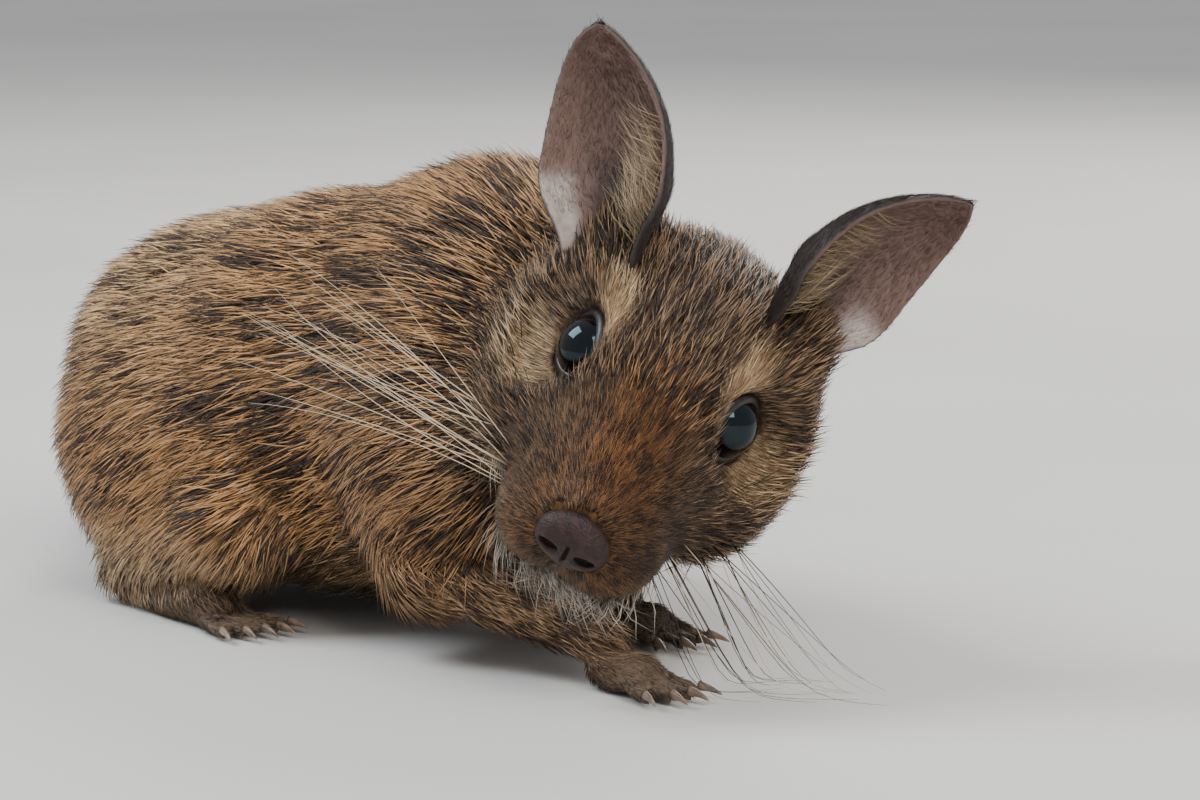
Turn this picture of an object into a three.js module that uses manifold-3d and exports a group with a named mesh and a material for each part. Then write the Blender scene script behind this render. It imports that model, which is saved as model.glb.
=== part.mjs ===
// A life-size degu at rest: belly low, forepaws forward, head turned to its right and tipped.
// Millimetres. +X is the front of the body, +Y its left side, +Z up, and the floor is z = 0.
// Each piece of flesh is cut from one smooth body, so its neighbours carry the surface on.

import * as THREE from 'three';
import { mergeVertices } from 'three/addons/utils/BufferGeometryUtils.js';
import Module from 'manifold-3d';

const wasm = await Module();
wasm.setup();

// Driving dimensions, out to the tips of the coat

const GAP = 0.3;
const CURVED_GAP = 0.5;
const WELD = 0.03;
const RIGHT = -1;
const LEFT = 1;
const SIDES = { right: RIGHT, left: LEFT };

const RUMP = { centre: [-34, 0, 28], radii: [29, 27, 26] };
const BELLY = { centre: [-4, 0, 30.5], radii: [37, 30.5, 29] };
const CHEST = { centre: [21, 0, 35.5], radii: [27, 25, 29] };
const SHOULDER = { centre: [30, 16, 28], radii: [16, 11, 18] };
const NECK = { root: [30, 0, 37], rootRadius: 22, end: [54, 3, 41], endRadius: 15.5 };
const NECK_CUT = { point: [37, 0, 40], towards: [1, -0.12, 0.1], size: [60, 84, 96] };

const HEAD_AT = [67.7, -11.1, 39.5];
const HEAD_TURN = -60;
const HEAD_DROP = 25.3;
const HEAD_TILT = -31.8;
const HEAD_CUT = { point: [46.5, 1, 42], towards: [0.84, -0.5, 0.15], reach: 4 };

const EYE_RADIUS = 4.6;
const EYE_SEGMENTS = [12, 9];
const EYE_DEPTH = 4.2;
const EYE_SURFACE = [0, 12.9, 0];
const EYE_LOOK = [0.42, 0.85, 0.3];
const EYE_DISH = { distance: 9.2, radius: 8 };

const NOSE = { centre: [24.2, 0, -8.4], radii: [2.2, 4.4, 3.3] };

const EARS = {
  right: { side: RIGHT, base: [-13.4, 17.3, 10.6], tip: [-19.6, 27.9, 30.3], opening: [0.9, 0.43, -0.07] },
  left: { side: LEFT, base: [-17.1, 14, 10.5], tip: [-25.1, 23.2, 29.7], opening: [0.74, 0.68, -0.02] },
};
const EAR_HALF_WIDTH = 7.7;
const EAR_LEAST_HALF_WIDTH = 0.5;
const EAR_OUTLINE = { power: 2.1, roundness: 0.68 };
const EAR_HALF_ARC = { root: 82, tip: 40 };
const EAR_BOW = 1.8;
const EAR_SHIFT = 0.3;
const EAR_GRID = { rows: 10, columns: 7 };
const EAR_THICKNESS = 0.9;
const EAR_TURN = 50;
const EAR_ROOT = -0.3;

const FORELEGS = {
  right: { side: RIGHT, shoulder: [28, -16, 27], elbow: [30, -18, 13], wrist: [58, -12, 6] },
  left: { side: LEFT, shoulder: [28, 16, 27], elbow: [22, 18, 12], wrist: [33, 11.5, 5.5] },
};
const FORELEG_RADII = { shoulder: 11, elbow: 7, wrist: 3.9 };
const FOREPAW = {
  toes: 4, toeLength: 7, spread: 9, palm: [6.5, 4.4, 3.2], height: 2.6, cut: [22, 22, 10],
};

const THIGH = { centre: [-22, 21, 21], radii: [25, 13, 19] };
const SHIN = { knee: [-2, 26, 15], kneeRadius: 8.5, heel: [-29, 25, 6], heelRadius: 5 };
const HIND_FOOT = { heel: [-30, 25, 3.4], ball: [-7, 27, 3.5], heelRadius: 4.0, ballRadius: 4.3 };
const HIND_TOES = { toes: 5, toeLength: 10.5, spread: 11 };
const TOE_RADIUS = { root: 1.6, tip: 1.15 };
const CLAW = { length: 2.4, radius: 0.5, tipRadius: 0.27, drop: 18 };

const TAIL_PATH = [
  [-50, 0, 19], [-60, 1, 11], [-73, 4, 4.6], [-89, 13, 3.3], [-103, 27, 3.3], [-111, 43, 3.9], [-114, 63, 3],
];
const TAIL_RADII = [6.5, 5.2, 4, 3.5, 3.5, 4.6, 1.2];
const TAIL_CUTS = { root: 0.16, middle: 0.45, tuft: 0.68, box: [40, 22, 22] };

// Colours, read from the photograph by eye

const COAT = { color: 0x9c7650, roughness: 0.9, metalness: 0 };
const FACE = { color: 0x8f6a45, roughness: 0.9, metalness: 0 };
const PALE_FUR = { color: 0xb5a48e, roughness: 0.9, metalness: 0 };
const TUFT = { color: 0x2a221d, roughness: 0.9, metalness: 0 };
const EAR_SKIN = { color: 0x6a554c, roughness: 0.75, metalness: 0 };
const NOSE_SKIN = { color: 0x4a302e, roughness: 0.5, metalness: 0 };
const EYE = { color: 0x0b0b0f, roughness: 0.08, metalness: 0 };
const CLAW_HORN = { color: 0x4c4038, roughness: 0.45, metalness: 0 };

// Fields: negative inside, positive outside, in about millimetres

function ellipsoid({ centre, radii }) {
  const [cx, cy, cz] = centre;
  const [rx, ry, rz] = radii;
  return (x, y, z) => {
    const a = (x - cx) / rx;
    const b = (y - cy) / ry;
    const c = (z - cz) / rz;
    const scaled = Math.hypot(a, b, c);
    const slope = Math.hypot(a / rx, b / ry, c / rz);
    return (scaled * (scaled - 1)) / Math.max(slope, 1e-9);
  };
}

function roundCone(start, end, startRadius, endRadius) {
  const a = new THREE.Vector3(...start);
  const along = new THREE.Vector3(...end).sub(a);
  const lengthSquared = along.lengthSq();
  const p = new THREE.Vector3();
  return (x, y, z) => {
    p.set(x, y, z).sub(a);
    const t = THREE.MathUtils.clamp(p.dot(along) / lengthSquared, 0, 1);
    return p.addScaledVector(along, -t).length() - THREE.MathUtils.lerp(startRadius, endRadius, t);
  };
}

function blended(width, first, second) {
  return (x, y, z) => {
    const a = first(x, y, z);
    const b = second(x, y, z);
    const h = THREE.MathUtils.clamp(0.5 + (0.5 * (b - a)) / width, 0, 1);
    return b + (a - b) * h - width * h * (1 - h);
  };
}

function hollowed(width, body, hollow) {
  const outside = (x, y, z) => -body(x, y, z);
  const joined = blended(width, outside, hollow);
  return (x, y, z) => -joined(x, y, z);
}

function mirrored(field) {
  return (x, y, z) => field(x, Math.abs(y), z);
}

function nearestOf(...fields) {
  return (x, y, z) => Math.min(...fields.map((field) => field(x, y, z)));
}

// The head has its own frame: origin midway between the eyes, +X to the nose, +Z out of the crown

const degrees = THREE.MathUtils.degToRad;
const headMatrix = new THREE.Matrix4()
  .makeTranslation(...HEAD_AT)
  .multiply(new THREE.Matrix4().makeRotationZ(degrees(HEAD_TURN)))
  .multiply(new THREE.Matrix4().makeRotationY(degrees(HEAD_DROP)))
  .multiply(new THREE.Matrix4().makeRotationX(degrees(HEAD_TILT)));
const toHeadMatrix = headMatrix.clone().invert();

function inHead(field) {
  const p = new THREE.Vector3();
  return (x, y, z) => {
    p.set(x, y, z).applyMatrix4(toHeadMatrix);
    return field(p.x, p.y, p.z);
  };
}

function eyeCentre(side) {
  const look = new THREE.Vector3(...EYE_LOOK).normalize();
  const centre = new THREE.Vector3(...EYE_SURFACE).addScaledVector(look, -EYE_DEPTH);
  return new THREE.Vector3(centre.x, centre.y * side, centre.z);
}

function eyeDish() {
  const look = new THREE.Vector3(...EYE_LOOK).normalize();
  const centre = eyeCentre(LEFT).addScaledVector(look, EYE_DISH.distance);
  return ellipsoid({ centre: centre.toArray(), radii: Array(3).fill(EYE_DISH.radius) });
}

function headShape() {
  let head = ellipsoid({ centre: [-10, 0, -2], radii: [18, 16.5, 13.6] });
  head = blended(6, head, ellipsoid({ centre: [4, 0, -4.5], radii: [16, 12.5, 11.5] }));
  head = blended(5, head, roundCone([4, 0, -5], [17.5, 0, -8.5], 11, 8));
  head = blended(3, head, mirrored(ellipsoid({ centre: [15.5, 4.6, -12], radii: [8.5, 6.4, 6.6] })));
  head = blended(4, head, roundCone([0, 0, -14], [13, 0, -18], 9, 5));
  head = blended(5, head, mirrored(ellipsoid({ centre: [-4, 10, -9], radii: [16, 11, 13] })));
  head = blended(5, head, mirrored(ellipsoid({ centre: [-12, 9, -8], radii: [13, 11, 13] })));
  head = blended(4, head, mirrored(ellipsoid({ centre: [-16, 12, 4], radii: [6, 6, 6.5] })));
  head = hollowed(2.5, head, mirrored(eyeDish()));
  return inHead(head);
}

const noseField = inHead(ellipsoid(NOSE));
const headField = blended(1.5, headShape(), noseField);
const neckField = roundCone(NECK.root, NECK.end, NECK.rootRadius, NECK.endRadius);

function trunkShape() {
  let trunk = blended(10, ellipsoid(RUMP), ellipsoid(BELLY));
  trunk = blended(10, trunk, ellipsoid(CHEST));
  return blended(8, trunk, mirrored(ellipsoid(SHOULDER)));
}

function forelegShape({ shoulder, elbow, wrist }) {
  const upperArm = roundCone(shoulder, elbow, FORELEG_RADII.shoulder, FORELEG_RADII.elbow);
  const forearm = roundCone(elbow, wrist, FORELEG_RADII.elbow - 0.5, FORELEG_RADII.wrist);
  return blended(4, upperArm, forearm);
}

function palmShape({ wrist: [x, y] }) {
  return ellipsoid({ centre: [x + 4.5, y, FOREPAW.height], radii: FOREPAW.palm });
}

const tailCurve = new THREE.CatmullRomCurve3(TAIL_PATH.map((point) => new THREE.Vector3(...point)));

function tailRadius(t) {
  const place = t * (TAIL_RADII.length - 1);
  const index = Math.min(Math.floor(place), TAIL_RADII.length - 2);
  const blend = THREE.MathUtils.smoothstep(place - index, 0, 1);
  return THREE.MathUtils.lerp(TAIL_RADII[index], TAIL_RADII[index + 1], blend);
}

function tailRootShape() {
  const [start, end] = [0, TAIL_CUTS.root + 0.06];
  const points = [start, end].map((t) => tailCurve.getPoint(t).toArray());
  return roundCone(...points, tailRadius(start), tailRadius(end));
}

const trunkField = trunkShape();
const thighField = mirrored(ellipsoid(THIGH));
const shinField = mirrored(roundCone(SHIN.knee, SHIN.heel, SHIN.kneeRadius, SHIN.heelRadius));
const hindLegField = blended(4, thighField, shinField);
const hindFootField = mirrored(
  roundCone(HIND_FOOT.heel, HIND_FOOT.ball, HIND_FOOT.heelRadius, HIND_FOOT.ballRadius),
);
const forelegFields = {
  right: forelegShape(FORELEGS.right),
  left: forelegShape(FORELEGS.left),
};
const tailRootField = tailRootShape();

function bodyShape() {
  let body = blended(7, trunkField, thighField);
  body = blended(4, body, shinField);
  body = blended(5, body, forelegFields.right);
  body = blended(5, body, forelegFields.left);
  body = blended(12, body, neckField);
  body = blended(7, body, headField);
  body = blended(2, body, hindFootField);
  body = blended(5, body, tailRootField);
  body = blended(2, body, palmShape(FORELEGS.right));
  return blended(2, body, palmShape(FORELEGS.left));
}

const bodyField = bodyShape();

function pawNear(name) {
  const limb = nearestOf(palmShape(FORELEGS[name]), forelegFields[name]);
  return (x, y, z) => limb(x, y, z) + 2 * STEPS.paw;
}

// Surfaces: a field's zero surface over a box of cubes, one vertex for each cube that it crosses

const CORNERS = [0, 1, 2, 3, 4, 5, 6, 7].map((n) => [n & 1, (n >> 1) & 1, (n >> 2) & 1]);
const CUBE_EDGES = CORNERS.flatMap((start, i) =>
  [1, 2, 4].filter((bit) => !(i & bit)).map((bit) => [i, i | bit]),
);

function sampleField(field, [low, high], step) {
  const counts = low.map((value, axis) => Math.ceil((high[axis] - value) / step) + 1);
  const [nx, ny, nz] = counts;
  const values = new Float64Array(nx * ny * nz);
  const at = (i, j, k) => (k * ny + j) * nx + i;
  for (let k = 0; k < nz; k += 1) {
    for (let j = 0; j < ny; j += 1) {
      for (let i = 0; i < nx; i += 1) {
        const border = i === 0 || j === 0 || k === 0 || i === nx - 1 || j === ny - 1 || k === nz - 1;
        const value = field(low[0] + i * step, low[1] + j * step, low[2] + k * step);
        values[at(i, j, k)] = border ? Math.max(value, step / 2) : value;
      }
    }
  }
  return { counts, values, at };
}

function cubeVertex(corners) {
  const sum = [0, 0, 0];
  let crossings = 0;
  for (const [start, end] of CUBE_EDGES) {
    const a = corners[start];
    const b = corners[end];
    if (a < 0 === b < 0) continue;
    const t = a / (a - b);
    for (let axis = 0; axis < 3; axis += 1) {
      sum[axis] += THREE.MathUtils.lerp(CORNERS[start][axis], CORNERS[end][axis], t);
    }
    crossings += 1;
  }
  return crossings === 0 ? null : sum.map((value) => value / crossings);
}

function fieldSurface(field, box, step) {
  const { counts, values, at } = sampleField(field, box, step);
  const [nx, ny, nz] = counts;
  const positions = [];
  const vertexOf = new Map();
  for (let k = 0; k < nz - 1; k += 1) {
    for (let j = 0; j < ny - 1; j += 1) {
      for (let i = 0; i < nx - 1; i += 1) {
        const corners = CORNERS.map(([a, b, c]) => values[at(i + a, j + b, k + c)]);
        const place = cubeVertex(corners);
        if (!place) continue;
        vertexOf.set(at(i, j, k), positions.length / 3);
        const cell = [i, j, k];
        positions.push(...place.map((value, axis) => box[0][axis] + (cell[axis] + value) * step));
      }
    }
  }
  const index = surfaceFaces(counts, values, at, vertexOf, positions);
  return facesToGeometry(positions, index);
}

function surfaceFaces([nx, ny, nz], values, at, vertexOf, positions) {
  const index = [];
  const point = (v) => new THREE.Vector3().fromArray(positions, v * 3);
  const addQuad = (a, b, c, d) => {
    if (point(a).distanceTo(point(c)) <= point(b).distanceTo(point(d))) {
      index.push(a, b, c, a, c, d);
    } else {
      index.push(b, c, d, b, d, a);
    }
  };
  for (let k = 0; k < nz - 1; k += 1) {
    for (let j = 0; j < ny - 1; j += 1) {
      for (let i = 0; i < nx - 1; i += 1) {
        for (let axis = 0; axis < 3; axis += 1) {
          const step = [0, 0, 0];
          step[axis] = 1;
          const onBorder = [i, j, k].some((place, n) => place === 0 && n !== axis);
          if (onBorder) continue;
          const inside = values[at(i, j, k)] < 0;
          if (inside === values[at(i + step[0], j + step[1], k + step[2])] < 0) continue;
          const u = [0, 0, 0];
          const v = [0, 0, 0];
          u[(axis + 1) % 3] = 1;
          v[(axis + 2) % 3] = 1;
          const cubes = [
            vertexOf.get(at(i, j, k)),
            vertexOf.get(at(i - u[0], j - u[1], k - u[2])),
            vertexOf.get(at(i - u[0] - v[0], j - u[1] - v[1], k - u[2] - v[2])),
            vertexOf.get(at(i - v[0], j - v[1], k - v[2])),
          ];
          addQuad(...(inside ? cubes : cubes.reverse()));
        }
      }
    }
  }
  return index;
}

function facesToGeometry(positions, index) {
  const geometry = new THREE.BufferGeometry();
  geometry.setAttribute('position', new THREE.Float32BufferAttribute(positions, 3));
  geometry.setIndex(index);
  return geometry;
}

// Solids: joining, cutting and keeping the one body of a piece

function toSolid(geometry) {
  const bare = geometry.clone();
  bare.deleteAttribute('normal');
  bare.deleteAttribute('uv');
  const merged = mergeVertices(bare);
  return new wasm.Manifold(new wasm.Mesh({
    numProp: 3,
    vertProperties: new Float32Array(merged.attributes.position.array),
    triVerts: new Uint32Array(merged.index.array),
  }));
}

function mainBody({ vertProperties, triVerts }) {
  const parent = Array.from({ length: vertProperties.length / 3 }, (_, i) => i);
  const find = (i) => {
    while (parent[i] !== i) {
      parent[i] = parent[parent[i]];
      i = parent[i];
    }
    return i;
  };
  for (let t = 0; t < triVerts.length; t += 3) {
    parent[find(triVerts[t])] = find(triVerts[t + 1]);
    parent[find(triVerts[t + 1])] = find(triVerts[t + 2]);
  }
  const counts = new Map();
  for (const vertex of triVerts) counts.set(find(vertex), (counts.get(find(vertex)) ?? 0) + 1);
  const largest = [...counts].reduce((best, entry) => (entry[1] > best[1] ? entry : best))[0];
  const kept = [];
  for (let t = 0; t < triVerts.length; t += 3) {
    if (find(triVerts[t]) === largest) kept.push(...triVerts.slice(t, t + 3));
  }
  return kept;
}

function withoutSlivers(geometry) {
  const welded = mergeVertices(geometry, WELD);
  const index = welded.index.array;
  const faces = new Map();
  for (let t = 0; t < index.length; t += 3) {
    const face = Array.from(index.slice(t, t + 3));
    if (new Set(face).size < 3) continue;
    const key = face.toSorted((a, b) => a - b).join();
    if (!faces.delete(key)) faces.set(key, face);
  }
  welded.setIndex([...faces.values()].flat());
  return welded;
}

function toGeometry(solid) {
  const mesh = solid.getMesh();
  const whole = facesToGeometry(Array.from(mesh.vertProperties), mainBody(mesh));
  const geometry = withoutSlivers(whole);
  geometry.computeVertexNormals();
  return geometry;
}

function boxSolid(low, high) {
  const size = low.map((value, axis) => high[axis] - value);
  const geometry = new THREE.BoxGeometry(...size);
  geometry.translate(...low.map((value, axis) => value + size[axis] / 2));
  return toSolid(geometry);
}

const belowFloor = boxSolid([-200, -100, -40], [150, 150, 0]);

function planeField(point, towards, shift) {
  const p = new THREE.Vector3(...point);
  const n = new THREE.Vector3(...towards).normalize();
  return (x, y, z) => -((x - p.x) * n.x + (y - p.y) * n.y + (z - p.z) * n.z) + shift;
}

function between(own, others, reach, shift) {
  return (x, y, z) => {
    const d = own(x, y, z);
    return Math.max((d - others(x, y, z)) / 2 + shift, d - reach + shift);
  };
}

// Territories: where each piece of flesh ends. A positive shift draws the border inwards

function headTerritory(shift) {
  const plane = planeField(HEAD_CUT.point, HEAD_CUT.towards, shift);
  return (x, y, z) => Math.max(plane(x, y, z), headField(x, y, z) - HEAD_CUT.reach + shift);
}

const innerFlesh = nearestOf(trunkField, neckField);

function forelegTerritory(name) {
  return (shift) => between(forelegFields[name], innerFlesh, 5, shift);
}

function hindLegTerritory(side) {
  const sided = (x, y, z) => (y * side > 0 ? hindLegField(x, y, z) : 50);
  return (shift) => between(sided, trunkField, 5, shift);
}

function hindFootTerritory(side) {
  const sided = (x, y, z) => (y * side > 0 ? hindFootField(x, y, z) : 50);
  return (shift) => between(sided, nearestOf(trunkField, hindLegField), 3, shift);
}

function noseTerritory(shift) {
  return (x, y, z) => noseField(x, y, z) - 0.35 + shift;
}

function cutter(territory, box, step, shift) {
  return toSolid(fieldSurface(territory(shift), box, step));
}

// Boxes and grid steps of the flesh pieces

const BOXES = {
  trunk: [[-70, -42, -3], [60, 42, 76]],
  neck: [[26, -36, -3], [74, 34, 74]],
  head: [[30, -44, 3], [104, 34, 76]],
  nose: [[68, -36, 10], [86, -18, 30]],
  forelegRight: [[10, -34, -3], [66, -2, 46]],
  forelegLeft: [[8, 2, -3], [52, 34, 46]],
  forepawRight: [[52, -24, -4], [78, 0, 12]],
  forepawLeft: [[27, 0, -4], [53, 24, 12]],
  hindLegRight: [[-58, -42, -3], [14, -4, 46]],
  hindLegLeft: [[-58, 4, -3], [14, 42, 46]],
  hindFootRight: [[-40, -36, -4], [4, -16, 12]],
  hindFootLeft: [[-40, 16, -4], [4, 36, 12]],
};
const STEPS = { trunk: 7.5, neck: 6.5, head: 4.0, nose: 2.3, leg: 5.5, foreleg: 4.2, paw: 2.7, foot: 3.6 };
const CUT_STEP = 8;
const FINE_CUT_STEP = 5;
const NOSE_CUT_STEP = 1.6;

const nearFields = {
  trunk: trunkField,
  neck: nearestOf(neckField, trunkField),
  head: headField,
  forepawRight: pawNear('right'),
  forepawLeft: pawNear('left'),
};

const territories = {
  head: [headTerritory, BOXES.head, FINE_CUT_STEP],
  nose: [noseTerritory, BOXES.nose, NOSE_CUT_STEP],
  forelegRight: [forelegTerritory('right'), BOXES.forelegRight, CUT_STEP],
  forelegLeft: [forelegTerritory('left'), BOXES.forelegLeft, CUT_STEP],
  hindLegRight: [hindLegTerritory(RIGHT), BOXES.hindLegRight, CUT_STEP],
  hindLegLeft: [hindLegTerritory(LEFT), BOXES.hindLegLeft, CUT_STEP],
  hindFootRight: [hindFootTerritory(RIGHT), BOXES.hindFootRight, FINE_CUT_STEP],
  hindFootLeft: [hindFootTerritory(LEFT), BOXES.hindFootLeft, FINE_CUT_STEP],
};

function squareCut(point, towards, size, shift) {
  const geometry = new THREE.BoxGeometry(...size);
  geometry.translate(size[0] / 2 + shift, 0, 0);
  const along = new THREE.Vector3(...towards).normalize();
  const sideways = new THREE.Vector3(0, 0, 1).cross(along).normalize();
  const basis = new THREE.Matrix4().makeBasis(along, sideways, along.clone().cross(sideways));
  geometry.applyMatrix4(basis);
  geometry.translate(...point);
  return toSolid(geometry);
}

function wristCut({ elbow, wrist }, shift) {
  const towards = wrist.map((value, axis) => value - elbow[axis]);
  return squareCut(wrist, towards, FOREPAW.cut, shift);
}

function neckCut(shift) {
  return squareCut(NECK_CUT.point, NECK_CUT.towards, NECK_CUT.size, shift);
}

function tailCut(shift) {
  const point = tailCurve.getPoint(TAIL_CUTS.root).toArray();
  return squareCut(point, tailCurve.getTangent(TAIL_CUTS.root).toArray(), TAIL_CUTS.box, shift);
}

function ownSpace(name) {
  return cutter(...territories[name], CURVED_GAP / 2);
}

function clearedOf(solid, names) {
  return names.reduce((rest, name) => rest.subtract(cutter(...territories[name], -CURVED_GAP / 2)), solid);
}

function fleshSolid(name, step) {
  const near = nearFields[name] ?? bodyField;
  const reach = 3 * step;
  const field = (x, y, z) => Math.max(bodyField(x, y, z), near(x, y, z) - reach);
  return toSolid(fieldSurface(field, BOXES[name], step));
}

// Head pieces

const headFrame = new THREE.Group();
headFrame.position.set(...HEAD_AT);
headFrame.rotation.set(degrees(HEAD_TILT), degrees(HEAD_DROP), degrees(HEAD_TURN), 'ZYX');

function eyeSolid(side, radius) {
  const geometry = new THREE.SphereGeometry(radius, ...EYE_SEGMENTS);
  geometry.translate(...eyeCentre(side).toArray());
  geometry.applyMatrix4(headMatrix);
  return toSolid(geometry);
}

function headSolid() {
  let head = fleshSolid('head', STEPS.head).intersect(ownSpace('head'));
  head = clearedOf(head, ['nose', 'forelegRight', 'forelegLeft']);
  for (const side of Object.values(SIDES)) head = head.subtract(eyeSolid(side, EYE_RADIUS + GAP));
  return head;
}

function noseSolid() {
  return fleshSolid('nose', STEPS.nose).intersect(ownSpace('nose'));
}

function eyeMesh(side) {
  const geometry = new THREE.SphereGeometry(EYE_RADIUS, ...EYE_SEGMENTS);
  const mesh = new THREE.Mesh(geometry);
  mesh.position.copy(eyeCentre(side));
  return mesh;
}

function earHalfWidth(height) {
  const rise = THREE.MathUtils.clamp(height, 0, 1);
  const outline = (1 - rise ** EAR_OUTLINE.power) ** EAR_OUTLINE.roundness;
  return Math.max(EAR_HALF_WIDTH * outline, EAR_LEAST_HALF_WIDTH);
}

function earFrame({ base, tip, opening }) {
  const root = new THREE.Vector3(...base);
  const up = new THREE.Vector3(...tip).sub(root);
  const length = up.length();
  up.normalize();
  const open = new THREE.Vector3(...opening).projectOnPlane(up).normalize();
  const forward = new THREE.Vector3().crossVectors(open, up);
  if (forward.y > 0) forward.negate();
  return { root, up, length, open, forward };
}

function earRow({ root, up, length, open, forward }, height, columns) {
  const turn = degrees(EAR_TURN);
  const rise = Math.max(height, 0);
  const halfArc = degrees(THREE.MathUtils.lerp(EAR_HALF_ARC.root, EAR_HALF_ARC.tip, rise));
  const low = Math.sin(turn - halfArc);
  const high = halfArc + turn > Math.PI / 2 ? 1 : Math.sin(turn + halfArc);
  const radius = (2 * earHalfWidth(height)) / (high - low);
  const across = forward.clone().multiplyScalar(Math.cos(turn)).addScaledVector(open, -Math.sin(turn));
  const facing = open.clone().multiplyScalar(Math.cos(turn)).addScaledVector(forward, Math.sin(turn));
  const middle = root.clone()
    .addScaledVector(up, height * length)
    .addScaledVector(facing, EAR_SHIFT * radius)
    .addScaledVector(across, -((high + low) / 2) * radius)
    .addScaledVector(open, -EAR_BOW * Math.sin(Math.PI * Math.min(rise, 1)));
  return Array.from({ length: columns }, (_, j) => {
    const angle = THREE.MathUtils.lerp(-halfArc, halfArc, j / (columns - 1));
    return middle.clone()
      .addScaledVector(open, -radius * Math.cos(angle))
      .addScaledVector(forward, radius * Math.sin(angle));
  });
}

function sheetNormal(rows, i, j) {
  const up = rows[Math.min(i + 1, rows.length - 1)][j].clone().sub(rows[Math.max(i - 1, 0)][j]);
  const last = rows[i].length - 1;
  const across = rows[i][Math.min(j + 1, last)].clone().sub(rows[i][Math.max(j - 1, 0)]);
  return up.cross(across).normalize();
}

function sheetSolidGeometry(rows, thickness) {
  const columns = rows[0].length;
  const half = thickness / 2;
  const positions = [];
  for (const offset of [half, -half]) {
    rows.forEach((row, i) => row.forEach((point, j) => {
      positions.push(...point.clone().addScaledVector(sheetNormal(rows, i, j), offset).toArray());
    }));
  }
  const back = rows.length * columns;
  const index = [];
  const quad = (a, b, c, d) => index.push(a, b, c, a, c, d);
  for (let i = 0; i < rows.length - 1; i += 1) {
    for (let j = 0; j < columns - 1; j += 1) {
      const a = i * columns + j;
      quad(a, a + columns, a + columns + 1, a + 1);
      quad(back + a, back + a + 1, back + a + columns + 1, back + a + columns);
    }
  }
  const edge = [];
  for (let j = 0; j < columns - 1; j += 1) edge.push(j);
  for (let i = 0; i < rows.length - 1; i += 1) edge.push(i * columns + columns - 1);
  for (let j = columns - 1; j > 0; j -= 1) edge.push((rows.length - 1) * columns + j);
  for (let i = rows.length - 1; i > 0; i -= 1) edge.push(i * columns);
  edge.forEach((a, n) => {
    const b = edge[(n + 1) % edge.length];
    quad(a, b, back + b, back + a);
  });
  return facesToGeometry(positions, index);
}

function earSolid(ear, headWithGap) {
  const frame = earFrame(ear);
  const last = EAR_GRID.rows - 1;
  const heights = Array.from({ length: EAR_GRID.rows }, (_, i) => THREE.MathUtils.lerp(EAR_ROOT, 1, i / last));
  const rows = heights.map((height) => earRow(frame, height, EAR_GRID.columns));
  const geometry = sheetSolidGeometry(rows, EAR_THICKNESS);
  if (ear.side === RIGHT) {
    geometry.scale(1, -1, 1);
    flipFaces(geometry);
  }
  geometry.applyMatrix4(headMatrix);
  if (signedVolume(geometry) < 0) flipFaces(geometry);
  return toSolid(geometry).subtract(headWithGap);
}

function flipFaces(geometry) {
  const index = geometry.index.array;
  for (let t = 0; t < index.length; t += 3) [index[t], index[t + 1]] = [index[t + 1], index[t]];
}

function signedVolume(geometry) {
  const { position } = geometry.attributes;
  const index = geometry.index.array;
  const [a, b, c] = [new THREE.Vector3(), new THREE.Vector3(), new THREE.Vector3()];
  let volume = 0;
  for (let t = 0; t < index.length; t += 3) {
    a.fromBufferAttribute(position, index[t]);
    b.fromBufferAttribute(position, index[t + 1]);
    c.fromBufferAttribute(position, index[t + 2]);
    volume += a.dot(b.cross(c)) / 6;
  }
  return volume;
}

// Feet: the toes fan out from the palm or sole, and each carries a claw

function taperedToe(start, end, rootRadius, tipRadius) {
  const a = new THREE.Vector3(...start);
  const b = new THREE.Vector3(...end);
  const length = a.distanceTo(b);
  const arc = (radius, centreY, from, to) => [0, 1, 2].map((n) => {
    const angle = THREE.MathUtils.lerp(from, to, n / 2);
    return new THREE.Vector2(Math.max(radius * Math.cos(angle), 0), centreY + radius * Math.sin(angle));
  });
  const profile = [
    ...arc(rootRadius, 0, -Math.PI / 2, 0),
    ...arc(tipRadius, length, 0, Math.PI / 2),
  ];
  profile[0].x = 0;
  profile[profile.length - 1].x = 0;
  const geometry = new THREE.LatheGeometry(profile, 6);
  const upright = new THREE.Vector3(0, 1, 0);
  geometry.applyQuaternion(new THREE.Quaternion().setFromUnitVectors(upright, b.clone().sub(a).normalize()));
  geometry.translate(a.x, a.y, a.z);
  return toSolid(geometry);
}

function toePlaces(count, [x, y], length, spread, rootSpread) {
  return Array.from({ length: count }, (_, n) => {
    const out = n - (count - 1) / 2;
    const share = out / ((count - 1) / 2);
    return {
      start: [x, y + (share * rootSpread) / 2, 2.1],
      end: [x + length - 1.8 * share * share, y + (share * spread) / 2, 1.05],
    };
  });
}

function clawSolid({ start, end }) {
  const tip = new THREE.Vector3(...end);
  const along = tip.clone().sub(new THREE.Vector3(...start)).setZ(0).normalize();
  const drop = degrees(CLAW.drop);
  const direction = along.clone().multiplyScalar(Math.cos(drop)).setZ(-Math.sin(drop));
  const reach = TOE_RADIUS.tip + CLAW.length;
  const geometry = new THREE.CylinderGeometry(CLAW.tipRadius, CLAW.radius, reach, 5);
  geometry.translate(0, reach / 2, 0);
  geometry.applyQuaternion(
    new THREE.Quaternion().setFromUnitVectors(new THREE.Vector3(0, 1, 0), direction),
  );
  geometry.translate(tip.x, tip.y, tip.z + 0.75);
  const toe = taperedToe(start, end, TOE_RADIUS.root + GAP, TOE_RADIUS.tip + GAP);
  return toSolid(geometry).subtract(toe);
}

const forepawToes = (name) => {
  const [x, y] = FORELEGS[name].wrist;
  return toePlaces(FOREPAW.toes, [x + 8.5, y], FOREPAW.toeLength, FOREPAW.spread, 5.6);
};

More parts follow.
